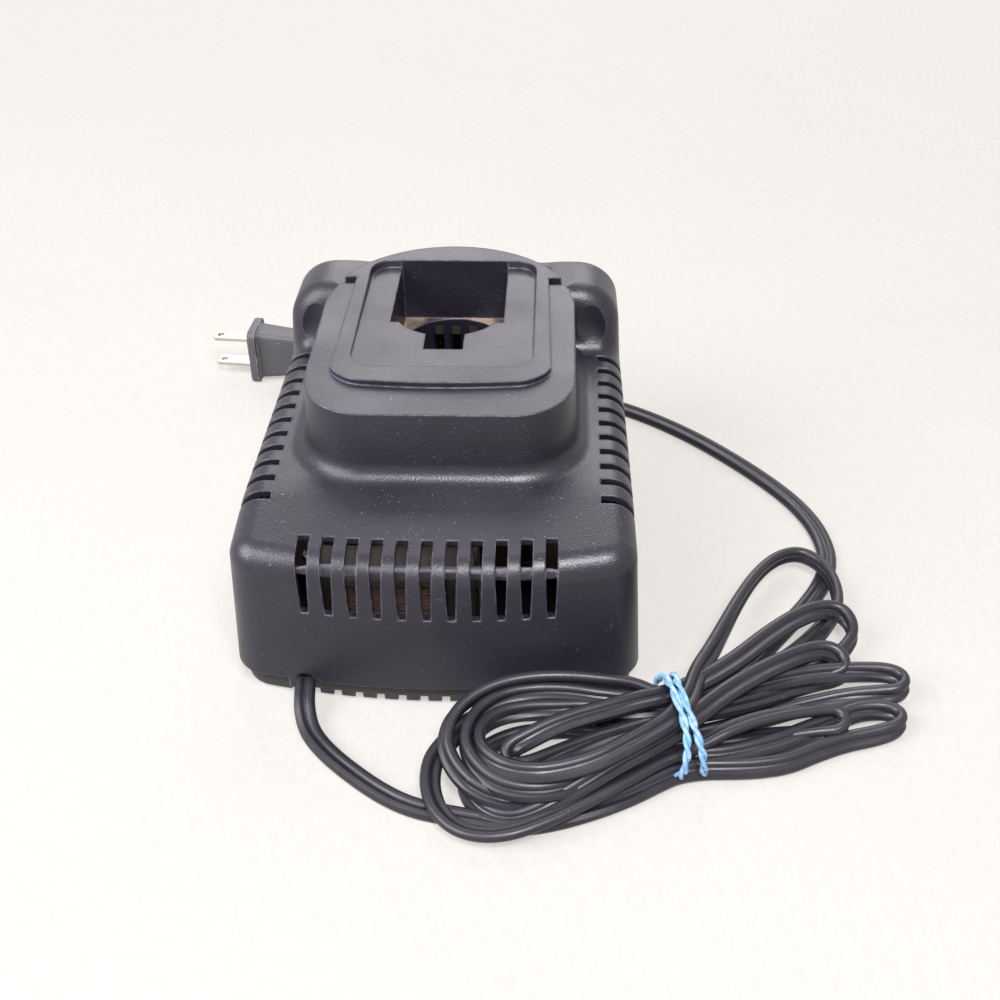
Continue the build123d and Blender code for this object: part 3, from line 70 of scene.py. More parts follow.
# ================================================================ mains cord
# Flat two-core cord: two round insulated cores side by side in one soft black sheath, 7.1 mm
# wide. It leaves the gland, lies in a tied hank of six turns and runs round behind the
# charger to its plug. Each point has its place and how far the flat cord leans over there.
cord_points = [
    # from the gland over the table
    (-0.0440, -0.0760, 0.0084, 0), (-0.0440, -0.0915, 0.0083, 0), (-0.0417, -0.1030, 0.0024, 0),
    (-0.0350, -0.1125, 0.0021, 0), (-0.0257, -0.1215, 0.0021, 0), (-0.0140, -0.1308, 0.0021, 0),
    (-0.0035, -0.1364, 0.0021, 0), (0.0075, -0.1389, 0.0021, 0), (0.0194, -0.1411, 0.0021, 0),
    (0.0299, -0.1427, 0.0021, 0), (0.0409, -0.1403, 0.0021, 0), (0.0532, -0.1357, 0.0026, 15),
    (0.0645, -0.1299, 0.0028, 25), (0.0742, -0.1236, 0.0031, 35),
    # first pass through the tie
    (0.0797, -0.1206, 0.0032, 40), (0.0880, -0.1188, 0.0032, 40),
    # lowest turn on the right, out
    (0.0950, -0.1186, 0.0032, 40), (0.1045, -0.1180, 0.0032, 40), (0.1150, -0.1158, 0.0032, 40),
    (0.1246, -0.1104, 0.0033, 45), (0.1348, -0.1059, 0.0034, 50), (0.1444, -0.1034, 0.0036, 60),
    (0.1520, -0.1006, 0.0042, 80), (0.1545, -0.0968, 0.0044, 90), (0.1527, -0.0934, 0.0046, 100),
    (0.1470, -0.0925, 0.0048, 125), (0.1390, -0.0942, 0.0050, 145),
    # and back
    (0.1320, -0.0985, 0.0050, 150), (0.1230, -0.1033, 0.0055, 150), (0.1130, -0.1088, 0.0055, 150),
    (0.1017, -0.1129, 0.0055, 150), (0.0940, -0.1150, 0.0055, 150),
    # second pass
    (0.0866, -0.1158, 0.0056, 150), (0.0774, -0.1162, 0.0056, 150),
    # outer turn on the left
    (0.0630, -0.1200, 0.0056, 150), (0.0520, -0.1265, 0.0056, 150), (0.0396, -0.1355, 0.0056, 150),
    (0.0309, -0.1364, 0.0058, 145), (0.0235, -0.1362, 0.0064, 140), (0.0166, -0.1338, 0.0075, 130),
    (0.0104, -0.1283, 0.0090, 120), (0.0062, -0.1211, 0.0110, 120), (0.0056, -0.1153, 0.0130, 120),
    (0.0077, -0.1084, 0.0150, 115), (0.0139, -0.1021, 0.0170, 110), (0.0228, -0.0972, 0.0180, 110),
    (0.0338, -0.0948, 0.0185, 110), (0.0455, -0.0943, 0.0185, 110), (0.0567, -0.0945, 0.0175, 110),
    (0.0665, -0.0941, 0.0155, 105),
    # third pass
    (0.0736, -0.0961, 0.0124, 90), (0.0837, -0.0957, 0.0105, 70),
    # long turn on the right
    (0.0970, -0.0910, 0.0095, 50), (0.1100, -0.0858, 0.0090, 40), (0.1215, -0.0818, 0.0088, 35),
    (0.1330, -0.0795, 0.0086, 35), (0.1440, -0.0783, 0.0082, 45), (0.1526, -0.0780, 0.0078, 65),
    (0.1570, -0.0800, 0.0074, 85), (0.1574, -0.0840, 0.0070, 95), (0.1540, -0.0868, 0.0066, 110),
    (0.1480, -0.0872, 0.0060, 130), (0.1390, -0.0876, 0.0052, 145), (0.1290, -0.0893, 0.0040, 160),
    (0.1180, -0.0920, 0.0030, 170), (0.1040, -0.0975, 0.0024, 175),
    # fourth pass
    (0.0874, -0.1036, 0.0024, 178), (0.0753, -0.1041, 0.0024, 170),
    # widest turn on the left, out
    (0.0660, -0.1010, 0.0036, 140), (0.0540, -0.0985, 0.0060, 120), (0.0420, -0.0970, 0.0080, 110),
    (0.0300, -0.0975, 0.0090, 110), (0.0195, -0.1010, 0.0090, 115), (0.0110, -0.1070, 0.0085, 125),
    (0.0027, -0.1188, 0.0075, 140), (0.0013, -0.1255, 0.0065, 145), (0.0019, -0.1328, 0.0055, 148),
    (0.0049, -0.1400, 0.0046, 148), (0.0105, -0.1459, 0.0044, 150), (0.0180, -0.1487, 0.0046, 150),
    # and back
    (0.0270, -0.1482, 0.0052, 150), (0.0360, -0.1446, 0.0060, 150), (0.0457, -0.1391, 0.0064, 150),
    (0.0556, -0.1324, 0.0066, 150), (0.0651, -0.1256, 0.0068, 150), (0.0735, -0.1193, 0.0070, 150),
    # fifth pass
    (0.0805, -0.1160, 0.0072, 150), (0.0888, -0.1120, 0.0085, 150),
    # short turn on the right
    (0.0953, -0.1087, 0.0105, 155), (0.1047, -0.1040, 0.0105, 155), (0.1141, -0.1006, 0.0100, 150),
    (0.1229, -0.0982, 0.0092, 140), (0.1285, -0.0972, 0.0082, 120), (0.1326, -0.0969, 0.0074, 100),
    (0.1354, -0.1000, 0.0062, 90), (0.1326, -0.1034, 0.0054, 60), (0.1260, -0.1030, 0.0052, 40),
    (0.1130, -0.1045, 0.0046, 20), (0.1010, -0.1075, 0.0054, 20),
    # sixth pass
    (0.0876, -0.1092, 0.0062, 15), (0.0765, -0.1100, 0.0062, 10),
    # low turn on the left, out
    (0.0650, -0.1060, 0.0050, 30), (0.0520, -0.1040, 0.0037, 60), (0.0390, -0.1040, 0.0038, 80),
    (0.0270, -0.1065, 0.0038, 90), (0.0170, -0.1130, 0.0038, 90), (0.0120, -0.1220, 0.0038, 80),
    (0.0124, -0.1276, 0.0036, 60), (0.0160, -0.1355, 0.0032, 40), (0.0218, -0.1401, 0.0030, 30),
    (0.0280, -0.1414, 0.0034, 25),
    # and back
    (0.0347, -0.1397, 0.0048, 25), (0.0420, -0.1362, 0.0070, 30), (0.0500, -0.1313, 0.0090, 35),
    (0.0593, -0.1251, 0.0110, 38), (0.0688, -0.1194, 0.0124, 40), (0.0760, -0.1146, 0.0130, 40),
    # seventh pass
    (0.0813, -0.1098, 0.0136, 38), (0.0887, -0.1030, 0.0142, 34),
    # third turn on the right
    (0.0962, -0.0954, 0.0142, 30), (0.1069, -0.0865, 0.0140, 30), (0.1170, -0.0794, 0.0136, 32),
    (0.1258, -0.0741, 0.0130, 40), (0.1329, -0.0717, 0.0120, 60), (0.1378, -0.0738, 0.0100, 85),
    (0.1384, -0.0780, 0.0078, 95), (0.1340, -0.0800, 0.0066, 120), (0.1280, -0.0810, 0.0060, 140),
    (0.1170, -0.0860, 0.0062, 165), (0.1030, -0.0940, 0.0075, 175),
    # eighth pass
    (0.0859, -0.1014, 0.0100, 180), (0.0753, -0.1041, 0.0100, 180),
    # inmost turn on the left, out
    (0.0650, -0.1080, 0.0092, 170), (0.0530, -0.1130, 0.0088, 165), (0.0420, -0.1190, 0.0086, 150),
    (0.0335, -0.1240, 0.0088, 125), (0.0287, -0.1252, 0.0090, 110), (0.0254, -0.1238, 0.0106, 90),
    (0.0266, -0.1209, 0.0134, 50),
    # and back
    (0.0318, -0.1188, 0.0152, 35), (0.0392, -0.1151, 0.0170, 28), (0.0481, -0.1111, 0.0176, 25),
    (0.0577, -0.1073, 0.0176, 25), (0.0668, -0.1031, 0.0172, 25),
    # ninth pass
    (0.0760, -0.0990, 0.0156, 22), (0.0868, -0.0925, 0.0148, 22),
    # second turn on the right
    (0.0968, -0.0842, 0.0144, 24), (0.1038, -0.0775, 0.0142, 26), (0.1129, -0.0678, 0.0142, 28),
    (0.1238, -0.0576, 0.0136, 32), (0.1331, -0.0515, 0.0126, 42), (0.1404, -0.0506, 0.0110, 65),
    (0.1440, -0.0551, 0.0090, 88), (0.1439, -0.0607, 0.0070, 95), (0.1380, -0.0675, 0.0050, 100),
    (0.1300, -0.0745, 0.0040, 140), (0.1180, -0.0800, 0.0050, 165), (0.1040, -0.0870, 0.0060, 172),
    # tenth pass
    (0.0878, -0.0958, 0.0064, 172), (0.0752, -0.1012, 0.0066, 170),
    # middle turn on the left
    (0.0660, -0.1090, 0.0060, 165), (0.0560, -0.1200, 0.0060, 155), (0.0469, -0.1320, 0.0090, 145),
    (0.0383, -0.1354, 0.0094, 140), (0.0297, -0.1358, 0.0098, 135), (0.0223, -0.1337, 0.0104, 125),
    (0.0158, -0.1279, 0.0114, 110), (0.0119, -0.1199, 0.0126, 95), (0.0127, -0.1122, 0.0136, 90),
    (0.0172, -0.1050, 0.0146, 75), (0.0248, -0.0998, 0.0150, 60), (0.0352, -0.0977, 0.0150, 50),
    (0.0456, -0.0979, 0.0150, 45), (0.0547, -0.0995, 0.0146, 40),
    # eleventh pass
    (0.0690, -0.0994, 0.0130, 35), (0.0825, -0.0984, 0.0114, 20), (0.0960, -0.0910, 0.0090, 15),
    # big turn on the right
    (0.1090, -0.0810, 0.0076, 15), (0.1220, -0.0695, 0.0064, 25), (0.1320, -0.0575, 0.0054, 45),
    (0.1385, -0.0475, 0.0052, 70), (0.1418, -0.0431, 0.0054, 85), (0.1425, -0.0344, 0.0060, 90),
    (0.1414, -0.0267, 0.0066, 88), (0.1377, -0.0188, 0.0072, 80), (0.1308, -0.0146, 0.0080, 75),
    (0.1220, -0.0190, 0.0090, 78), (0.1132, -0.0305, 0.0102, 85), (0.1054, -0.0460, 0.0114, 95),
    (0.0989, -0.0617, 0.0130, 108), (0.0927, -0.0769, 0.0148, 122), (0.0871, -0.0889, 0.0164, 135),
    # twelfth pass, over all the others
    (0.0836, -0.1022, 0.0176, 145), (0.0773, -0.1114, 0.0176, 150),
    # top turn on the left
    (0.0706, -0.1166, 0.0170, 152), (0.0630, -0.1214, 0.0162, 152), (0.0542, -0.1270, 0.0152, 150),
    (0.0443, -0.1306, 0.0144, 148), (0.0345, -0.1323, 0.0140, 145), (0.0252, -0.1305, 0.0138, 140),
    (0.0188, -0.1258, 0.0138, 125), (0.0159, -0.1196, 0.0138, 110), (0.0169, -0.1125, 0.0136, 100),
    (0.0224, -0.1068, 0.0134, 80), (0.0314, -0.1040, 0.0130, 60), (0.0417, -0.1033, 0.0126, 45),
    (0.0508, -0.1022, 0.0122, 30),
    # last pass
    (0.0705, -0.1025, 0.0115, 15), (0.0790, -0.0977, 0.0096, 5), (0.0930, -0.0900, 0.0074, 0),
    # round behind the charger to the plug
    (0.1040, -0.0775, 0.0056, 0), (0.1140, -0.0635, 0.0046, 0), (0.1235, -0.0500, 0.0036, 0),
    (0.1320, -0.0375, 0.0024, 0), (0.1390, -0.0255, 0.0022, 0), (0.1426, -0.0145, 0.0022, 0),
    (0.1432, -0.0040, 0.0022, 0), (0.1410, 0.0095, 0.0022, 0), (0.1350, 0.0240, 0.0022, 0),
    (0.1255, 0.0385, 0.0022, 0), (0.1130, 0.0540, 0.0022, 0), (0.0990, 0.0690, 0.0022, 0),
    (0.0840, 0.0820, 0.0022, 0), (0.0675, 0.0930, 0.0022, 0), (0.0495, 0.1005, 0.0022, 0),
    (0.0300, 0.1055, 0.0022, 0), (0.0100, 0.1095, 0.0022, 0), (-0.0100, 0.1125, 0.0022, 0),
    (-0.0295, 0.1150, 0.0024, 0), (-0.0445, 0.1169, 0.0084, 0), (-0.0574, 0.1180, 0.0130, 0),
    (-0.0694, 0.1190, 0.0130, 0),
]


def material_of(name, colour, roughness, metallic=0.0):
    """A material with its shader set plainly, ready for its texture."""
    material = bpy.data.materials.new(name)
    material.use_nodes = True
    tree = material.node_tree
    shader = tree.nodes["Principled BSDF"]
    shader.inputs["Base Color"].default_value = (*colour, 1.0)
    shader.inputs["Roughness"].default_value = roughness
    shader.inputs["Metallic"].default_value = metallic
    return material, tree, shader


def grain(tree, scale, detail=3.0, stretch=(1.0, 1.0, 1.0)):
    """Uneven grain fixed to the piece: about scale grains in a metre."""
    place = tree.nodes.new("ShaderNodeTexCoord")
    shape = tree.nodes.new("ShaderNodeMapping")
    shape.inputs["Scale"].default_value = stretch
    texture = tree.nodes.new("ShaderNodeTexNoise")
    texture.inputs["Scale"].default_value = scale
    texture.inputs["Detail"].default_value = detail
    tree.links.new(place.outputs["Object"], shape.inputs["Vector"])
    tree.links.new(shape.outputs["Vector"], texture.inputs["Vector"])
    return texture.outputs["Fac"]


def graded(tree, value, low, high, first=0.0, last=1.0):
    """The value, spread so that low gives the first result and high the last."""
    spread = tree.nodes.new("ShaderNodeMapRange")
    for socket, number in (
        ("From Min", low), ("From Max", high), ("To Min", first), ("To Max", last),
    ):
        spread.inputs[socket].default_value = number
    tree.links.new(value, spread.inputs["Value"])
    return spread.outputs["Result"]


def tinted(tree, shader, share, colour):
    """Turns the base colour towards another one by the share."""
    mix = tree.nodes.new("ShaderNodeMix")
    mix.data_type = "RGBA"
    base = shader.inputs["Base Color"]
    if base.links:
        tree.links.new(base.links[0].from_socket, mix.inputs[6])
    else:
        mix.inputs[6].default_value = base.default_value
    mix.inputs[7].default_value = (*colour, 1.0)
    tree.links.new(share, mix.inputs[0])
    tree.links.new(mix.outputs[2], base)


def mottled(tree, shader, colour, scale, detail, low, high, share=1.0):
    """Tints in patches: none where the grain is under low, the share of colour over high."""
    tinted(tree, shader, graded(tree, grain(tree, scale, detail), low, high, 0.0, share), colour)


def polished(tree, shader, texture, low, high, smooth, rough):
    """Lets a texture vary the roughness from smooth, at low, to rough, at high."""
    tree.links.new(graded(tree, texture, low, high, smooth, rough), shader.inputs["Roughness"])


def raised(tree, shader, height, distance):
    """Lets a height texture stand out of the surface by the distance, over what it has."""
    bump = tree.nodes.new("ShaderNodeBump")
    bump.inputs["Distance"].default_value = distance
    tree.links.new(height, bump.inputs["Height"])
    if shader.inputs["Normal"].links:
        tree.links.new(shader.inputs["Normal"].links[0].from_socket, bump.inputs["Normal"])
    tree.links.new(bump.outputs["Normal"], shader.inputs["Normal"])


def dressed(piece, material):
    """Gives every material slot of a piece the same material."""
    slots = piece.data.materials
    if not slots:
        slots.append(material)
    for index in range(len(slots)):
        slots[index] = material


def sealed(piece, weld_distance=0.00001, sharp_angle=35):
    """Merges a new mesh's doubles, turns its faces outwards and rounds its shading."""
    bpy.ops.object.select_all(action="DESELECT")
    piece.select_set(True)
    bpy.context.view_layer.objects.active = piece
    bpy.ops.object.mode_set(mode="EDIT")
    bpy.ops.mesh.select_all(action="SELECT")
    bpy.ops.mesh.remove_doubles(threshold=weld_distance)
    bpy.ops.mesh.normals_make_consistent(inside=False)
    bpy.ops.object.mode_set(mode="OBJECT")
    bpy.ops.object.shade_smooth_by_angle(angle=math.radians(sharp_angle))


def curve_along(name, points, cyclic=False):
    """An open or closed smooth curve through the neighbourhood of its points."""
    bpy.ops.object.select_all(action="DESELECT")
    bpy.ops.curve.primitive_nurbs_path_add()
    piece = bpy.context.object
    piece.name = name
    piece.data.splines.clear()
    spline = piece.data.splines.new("NURBS")
    spline.points.add(len(points) - 1)
    for point, (x, y, z, lean) in zip(spline.points, points):
        point.co = (x, y, z, 1.0)
        point.tilt = math.radians(lean)
    spline.order_u = 3
    spline.use_endpoint_u = not cyclic
    spline.use_cyclic_u = cyclic
    piece.data.dimensions = "3D"
    piece.data.use_path = False
    return piece


# Its line: a smooth curve near the points; a mesh is made from it and thrown away again before it
# gets its section.
line = curve_along("power_cord", cord_points)
line.data.twist_mode = "Z_UP"
line.data.resolution_u = 6
line_mesh = bpy.data.meshes.new_from_object(line)
bpy.data.meshes.remove(line_mesh)

# Its section: two arcs that meet in a groove, one of them with four moulded ridges.
core_radius, core_apart, ridge_height = 0.00186, 0.00169, 0.00012
half_arc, arc_steps, ridge_steps = 138, 18, (3, 6, 12, 15)
outline = []
for side in (1, -1):
    for step in range(arc_steps + 1):
        angle = math.radians(-half_arc + 2 * half_arc * step / arc_steps)
        reach = core_radius + (ridge_height if side > 0 and step in ridge_steps else 0.0)
        across, through = core_apart + reach * math.cos(angle), reach * math.sin(angle)
        outline.append((side * across, side * through))
section_curve = bpy.data.curves.new("cord_section", "CURVE")
section_curve.dimensions = "2D"
around = section_curve.splines.new("POLY")
around.points.add(len(outline) - 1)
for point, (x, y) in zip(around.points, outline):
    point.co = (x, y, 0.0, 1.0)
around.use_cyclic_u = True
section = bpy.data.objects.new("cord_section", section_curve)
bpy.context.scene.collection.objects.link(section)
line.data.bevel_mode = "OBJECT"
line.data.bevel_object = section
line.data.use_fill_caps = True
bpy.ops.object.convert(target="MESH")
power_cord = bpy.context.object
bpy.data.objects.remove(section)
sealed(power_cord)
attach(power_cord, "charger")
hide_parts("power_cord_lead", "power_cord_hank", "power_cord_tail")

# Its sheath: soft black vinyl with a grey bloom in patches, specks of dust and a fine grain.
cord_sheath, tree, shader = material_of("cord_sheath", (0.014, 0.013, 0.018), 0.36)
shader.inputs["Specular IOR Level"].default_value = 0.38
mottled(tree, shader, (0.030, 0.027, 0.035), 40, 5, low=0.45, high=0.75, share=0.50)
mottled(tree, shader, (0.16, 0.15, 0.15), 1500, 2, low=0.72, high=0.80)
polished(tree, shader, grain(tree, 120, 4), 0.35, 0.7, smooth=0.30, rough=0.46)
raised(tree, shader, grain(tree, 2600, 2), distance=0.00003)
dressed(power_cord, cord_sheath)


# ================================================================ rubber tie
# Two turns of a light-blue rubber band hold the hank. The band is slack enough to have
# twisted, so each turn shows as two strands wound round each other.
tie_middle, tie_turn = (0.0810, -0.1070), math.radians(12.0)
tie_half_width, tie_height, tie_lift, tie_lowest = 0.0178, 0.0212, 0.0006, 0.0008
ring_steps, twists = 84, 7
roundness = 0.78  # 1.0 is an ellipse, less a squarer ring
strand_radius = 0.00072
wind_radius = 0.95 * strand_radius
band_rubber, tree, shader = material_of("band_rubber", (0.135, 0.305, 0.52), 0.42)
shader.inputs["Subsurface Weight"].default_value = 0.15
shader.inputs["Subsurface Scale"].default_value = 0.002
mottled(tree, shader, (0.31, 0.44, 0.63), 500, 3, low=0.45, high=0.7)
raised(tree, shader, grain(tree, 1500, 2), distance=0.00006)
for name, shift, skew in (("tie_loop_left", -0.0036, 0.0016), ("tie_loop_right", 0.0024, -0.0020)):
    strands = []
    for phase in (0.0, math.pi):
        ring = []
        for step in range(ring_steps):
            angle = 2 * math.pi * step / ring_steps
            round_about = (math.cos(angle), math.sin(angle))
            out, rise = (math.copysign(abs(v) ** roundness, v) for v in round_about)
            wind = twists * angle + phase
            swell = wind_radius * math.cos(wind)
            across = (tie_half_width + swell) * out
            along = shift + skew * math.sin(angle) + wind_radius * math.sin(wind)
            x = tie_middle[0] + along * math.cos(tie_turn) - across * math.sin(tie_turn)
            y = tie_middle[1] + along * math.sin(tie_turn) + across * math.cos(tie_turn)
            z = max(tie_height / 2 + tie_lift + (tie_height / 2 + swell) * rise, tie_lowest)
            ring.append((x, y, z, 0.0))
        strand = curve_along("strand", ring, cyclic=True)
        strand.data.bevel_depth = strand_radius
        strand.data.bevel_resolution = 3
        strand.data.resolution_u = 3
        bpy.ops.object.convert(target="MESH")
        strands.append(bpy.context.object)
    bpy.ops.object.select_all(action="DESELECT")
    for strand in strands:
        strand.select_set(True)
    bpy.context.view_layer.objects.active = strands[0]
    bpy.ops.object.join()
    tie_loop = bpy.context.object
    tie_loop.name = tie_loop.data.name = name
    sealed(tie_loop)
    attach(tie_loop, "charger")
    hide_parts("rubber_band")
    dressed(tie_loop, band_rubber)


# ================================================================ moulded case
# Top housing and base tray are injection-moulded in black plastic with a fine spark texture.
# Handling has polished and greyed it, its edges are rubbed lighter and carry a painted highlight
# along them, and dust lies on top.
def product(tree, one, other):
    """Two values multiplied."""
    node = tree.nodes.new("ShaderNodeMath")
    node.operation = "MULTIPLY"
    tree.links.new(one, node.inputs[0])
    tree.links.new(other, node.inputs[1])
    return node.outputs[0]


def height_in_piece(tree):
    """How high the point lies in the piece's own frame."""
    place = tree.nodes.new("ShaderNodeTexCoord")
    apart = tree.nodes.new("ShaderNodeSeparateXYZ")
    tree.links.new(place.outputs["Object"], apart.inputs[0])
    return apart.outputs["Z"]


def facing_up(tree):
    """One where the surface faces up, zero where it stands upright, minus one underneath."""
    facing = tree.nodes.new("ShaderNodeNewGeometry")
    apart = tree.nodes.new("ShaderNodeSeparateXYZ")
    tree.links.new(facing.outputs["Normal"], apart.inputs[0])
    return apart.outputs["Z"]


def rounded_normal(tree, radius):
    """The normal that the surface would have with its edges rounded to the radius."""
    bevel = tree.nodes.new("ShaderNodeBevel")
    bevel.samples = 6
    bevel.inputs["Radius"].default_value = radius
    return bevel.outputs["Normal"]


def moulded(name, colour, roughness, grain_height, edge_radius, dust):
    """Moulded plastic: spark texture, greying, rubbed edges with a painted highlight, scuffs and
    specks of dust.
    """
    wear_and_highlight_radius, lightest, dust_colour = 0.0008, 0.5, (0.40, 0.39, 0.38)
    # every edge is tinted much lighter: partly rubbed wear, partly a painted highlight along the
    # edge
    greyed, rubbed_and_highlight_tint, scuffed = (
        tuple(min(times * part, lightest) for part in colour) for times in (2.0, 11.0, 5.0)
    )
    material, tree, shader = material_of(name, colour, roughness)
    shader.inputs["Specular IOR Level"].default_value = 0.43
    tree.links.new(rounded_normal(tree, edge_radius), shader.inputs["Normal"])

    # an edge is where the rounded normal turns away from the face's own
    face = tree.nodes.new("ShaderNodeNewGeometry")
    turned = tree.nodes.new("ShaderNodeVectorMath")
    turned.operation = "DOT_PRODUCT"
    tree.links.new(rounded_normal(tree, wear_and_highlight_radius), turned.inputs[0])
    tree.links.new(face.outputs["Normal"], turned.inputs[1])
    on_edge = graded(tree, turned.outputs["Value"], 0.997, 0.90)
    # painted highlight and wear: the edge mask, broken up by grain, lightens the colour along all
    # edges
    rubbed_and_highlit = product(tree, on_edge, graded(tree, grain(tree, 260, 4), 0.38, 0.66, 0.10, 0.85))

    mottled(tree, shader, greyed, 22, 5, low=0.40, high=0.72, share=0.45)
    tinted(tree, shader, rubbed_and_highlit, rubbed_and_highlight_tint)
    scuff = grain(tree, 90, 2, stretch=(1.0, 14.0, 6.0))
    tinted(tree, shader, graded(tree, scuff, 0.70, 0.80, 0.0, 0.5), scuffed)
    specks = graded(tree, grain(tree, 1500, 1), 0.725, 0.80, 0.0, dust)
    lying = graded(tree, facing_up(tree), -0.2, 0.6, 0.25, 1.0)
    tinted(tree, shader, product(tree, specks, lying), dust_colour)
    smooth, rough = roughness - 0.06, roughness + 0.09
    polished(tree, shader, grain(tree, 35, 4), 0.3, 0.7, smooth, rough)
    raised(tree, shader, grain(tree, 1400, 1), grain_height)
    return material


housing_plastic = moulded(
    "housing_plastic", colour=(0.0118, 0.0105, 0.0165), roughness=0.35,
    grain_height=0.00009, edge_radius=0.0011, dust=0.5,
)
tray_plastic = moulded(
    "tray_plastic", colour=(0.0150, 0.0135, 0.0165), roughness=0.55,
    grain_height=0.00010, edge_radius=0.0006, dust=0.5,
)

# Brown workshop dust has settled on the ledge at the bottom of the battery's pocket.
tree = housing_plastic.node_tree
shader = tree.nodes["Principled BSDF"]
ledge_z, ledge_half_thickness = 0.0670, 0.0008
near_ledge = tree.nodes.new("ShaderNodeMath")
near_ledge.operation = "COMPARE"
near_ledge.inputs[1].default_value = ledge_z
near_ledge.inputs[2].default_value = ledge_half_thickness
tree.links.new(height_in_piece(tree), near_ledge.inputs[0])
on_ledge = product(tree, near_ledge.outputs[0], graded(tree, facing_up(tree), 0.85, 0.95))
patches = graded(tree, grain(tree, 130, 5), 0.38, 0.60, 0.15, 0.95)
tinted(tree, shader, product(tree, on_ledge, patches), (0.27, 0.20, 0.145))
dressed(nodes["top_housing"], housing_plastic)

# Painted shade: the tray is darkened to near-black just under its joint with the housing, where the
# seam's shadow falls.
tree = tray_plastic.node_tree
shader = tree.nodes["Principled BSDF"]
seam_shade_low_z, seam_shade_high_z = 0.0054, 0.0061
seam_shade = graded(tree, height_in_piece(tree), seam_shade_low_z, seam_shade_high_z, 0.0, 0.95)
tinted(tree, shader, seam_shade, (0.0015, 0.0014, 0.0014))
dressed(nodes["base_tray"], tray_plastic)


# ================================================================ gland and clamp
# The cord's gland is a soft arched block in a notch of both end walls. A hard plastic bridge
# clamps the cord behind it.
bushing_plastic = moulded(
    "bushing_plastic", colour=(0.020, 0.020, 0.022), roughness=0.5,
    grain_height=0.00006, edge_radius=0.0005, dust=0.3,
)
dressed(nodes["cord_bushing"], bushing_plastic)
dressed(nodes["cord_clamp"], bushing_plastic)


# ================================================================ plug
# A two-blade plug: soft vinyl moulded over the cord, and folded brass blades with a nickel
# coat that handling has scratched along their length.
plug_moulding = moulded(
    "plug_moulding", colour=(0.056, 0.055, 0.061), roughness=0.48,
    grain_height=0.00005, edge_radius=0.0014, dust=0.2,
)
dressed(nodes["plug_body"], plug_moulding)
nickelled_brass, tree, shader = material_of(
    "nickelled_brass", (0.58, 0.525, 0.47), 0.30, metallic=1.0,
)
mottled(tree, shader, (0.66, 0.55, 0.36), 160, 4, low=0.5, high=0.8, share=0.6)
scratches = grain(tree, 900, 2, stretch=(0.04, 1.0, 1.0))
polished(tree, shader, scratches, 0.35, 0.7, smooth=0.16, rough=0.42)
raised(tree, shader, scratches, distance=0.00002)
dressed(nodes["plug_blades"], nickelled_brass)


# ================================================================ feet
# Four black rubber buttons, moulded and pushed into the tray from below, matt and slightly
# chalky.
foot_rubber, tree, shader = material_of("foot_rubber", (0.028, 0.027, 0.027), 0.82)
mottled(tree, shader, (0.085, 0.082, 0.078), 180, 4, low=0.45, high=0.75, share=0.5)
raised(tree, shader, grain(tree, 1100, 3), distance=0.00012)
dressed(nodes["rubber_feet"], foot_rubber)


# ================================================================ screws
# Zinc-plated steel screws that hold the housing, board, transistors, clamp and transformer.
# Their plating is dulled and a little yellow in patches.
zinc_steel, tree, shader = material_of("zinc_steel", (0.66, 0.66, 0.64), 0.34, metallic=1.0)
mottled(tree, shader, (0.56, 0.56, 0.60), 240, 4, low=0.4, high=0.7, share=0.7)
mottled(tree, shader, (0.68, 0.62, 0.44), 90, 3, low=0.55, high=0.75, share=0.5)
polished(tree, shader, grain(tree, 500, 3), 0.3, 0.7, smooth=0.26, rough=0.46)
raised(tree, shader, grain(tree, 2400, 2), distance=0.00003)
for name in (
    "housing_screws", "board_screws", "transistor_screws", "clamp_screws", "transformer_screws",
):
    dressed(nodes[name], zinc_steel)


# ================================================================ light pipes and lamps
# A red and a green light pipe, moulded in clear plastic and pressed into the front panel, each
# over a clear round lamp that is soldered to the board.
for name, colour in (("red", (0.62, 0.012, 0.010)), ("green", (0.015, 0.42, 0.060))):
    lens, tree, shader = material_of(name + "_lens", colour, 0.16)
    shader.inputs["Transmission Weight"].default_value = 0.35
    shader.inputs["IOR"].default_value = 1.49
    mottled(tree, shader, tuple(0.55 * c for c in colour), 140, 3, low=0.45, high=0.75, share=0.4)
    raised(tree, shader, grain(tree, 700, 2), distance=0.00003)
    dressed(nodes["light_pipe_" + name], lens)
led_resin, tree, shader = material_of("led_resin", (0.74, 0.75, 0.70), 0.12)
shader.inputs["Transmission Weight"].default_value = 0.6
mottled(tree, shader, (0.60, 0.58, 0.48), 300, 3, low=0.4, high=0.7, share=0.3)
raised(tree, shader, grain(tree, 900, 2), distance=0.00002)
dressed(nodes["indicator_leds"], led_resin)


# ================================================================ circuit board
# A board cut from brown paper laminate with a faint fibre, screwed to the tray's posts over a
# grey insulating sheet.
board_laminate, tree, shader = material_of("board_laminate", (0.21, 0.125, 0.055), 0.48)
fibre = grain(tree, 700, 4, stretch=(1.0, 0.08, 1.0))
tinted(tree, shader, graded(tree, fibre, 0.35, 0.65, 0.0, 0.5), (0.27, 0.175, 0.085))
mottled(tree, shader, (0.22, 0.11, 0.04), 45, 4, low=0.5, high=0.8, share=0.5)
raised(tree, shader, fibre, distance=0.00004)
dressed(nodes["circuit_board"], board_laminate)
sheet_plastic, tree, shader = material_of("sheet_plastic", (0.21, 0.235, 0.225), 0.55)
mottled(tree, shader, (0.29, 0.31, 0.30), 400, 5, low=0.4, high=0.7, share=0.6)
raised(tree, shader, grain(tree, 900, 3), distance=0.00005)
dressed(nodes["insulating_sheet"], sheet_plastic)


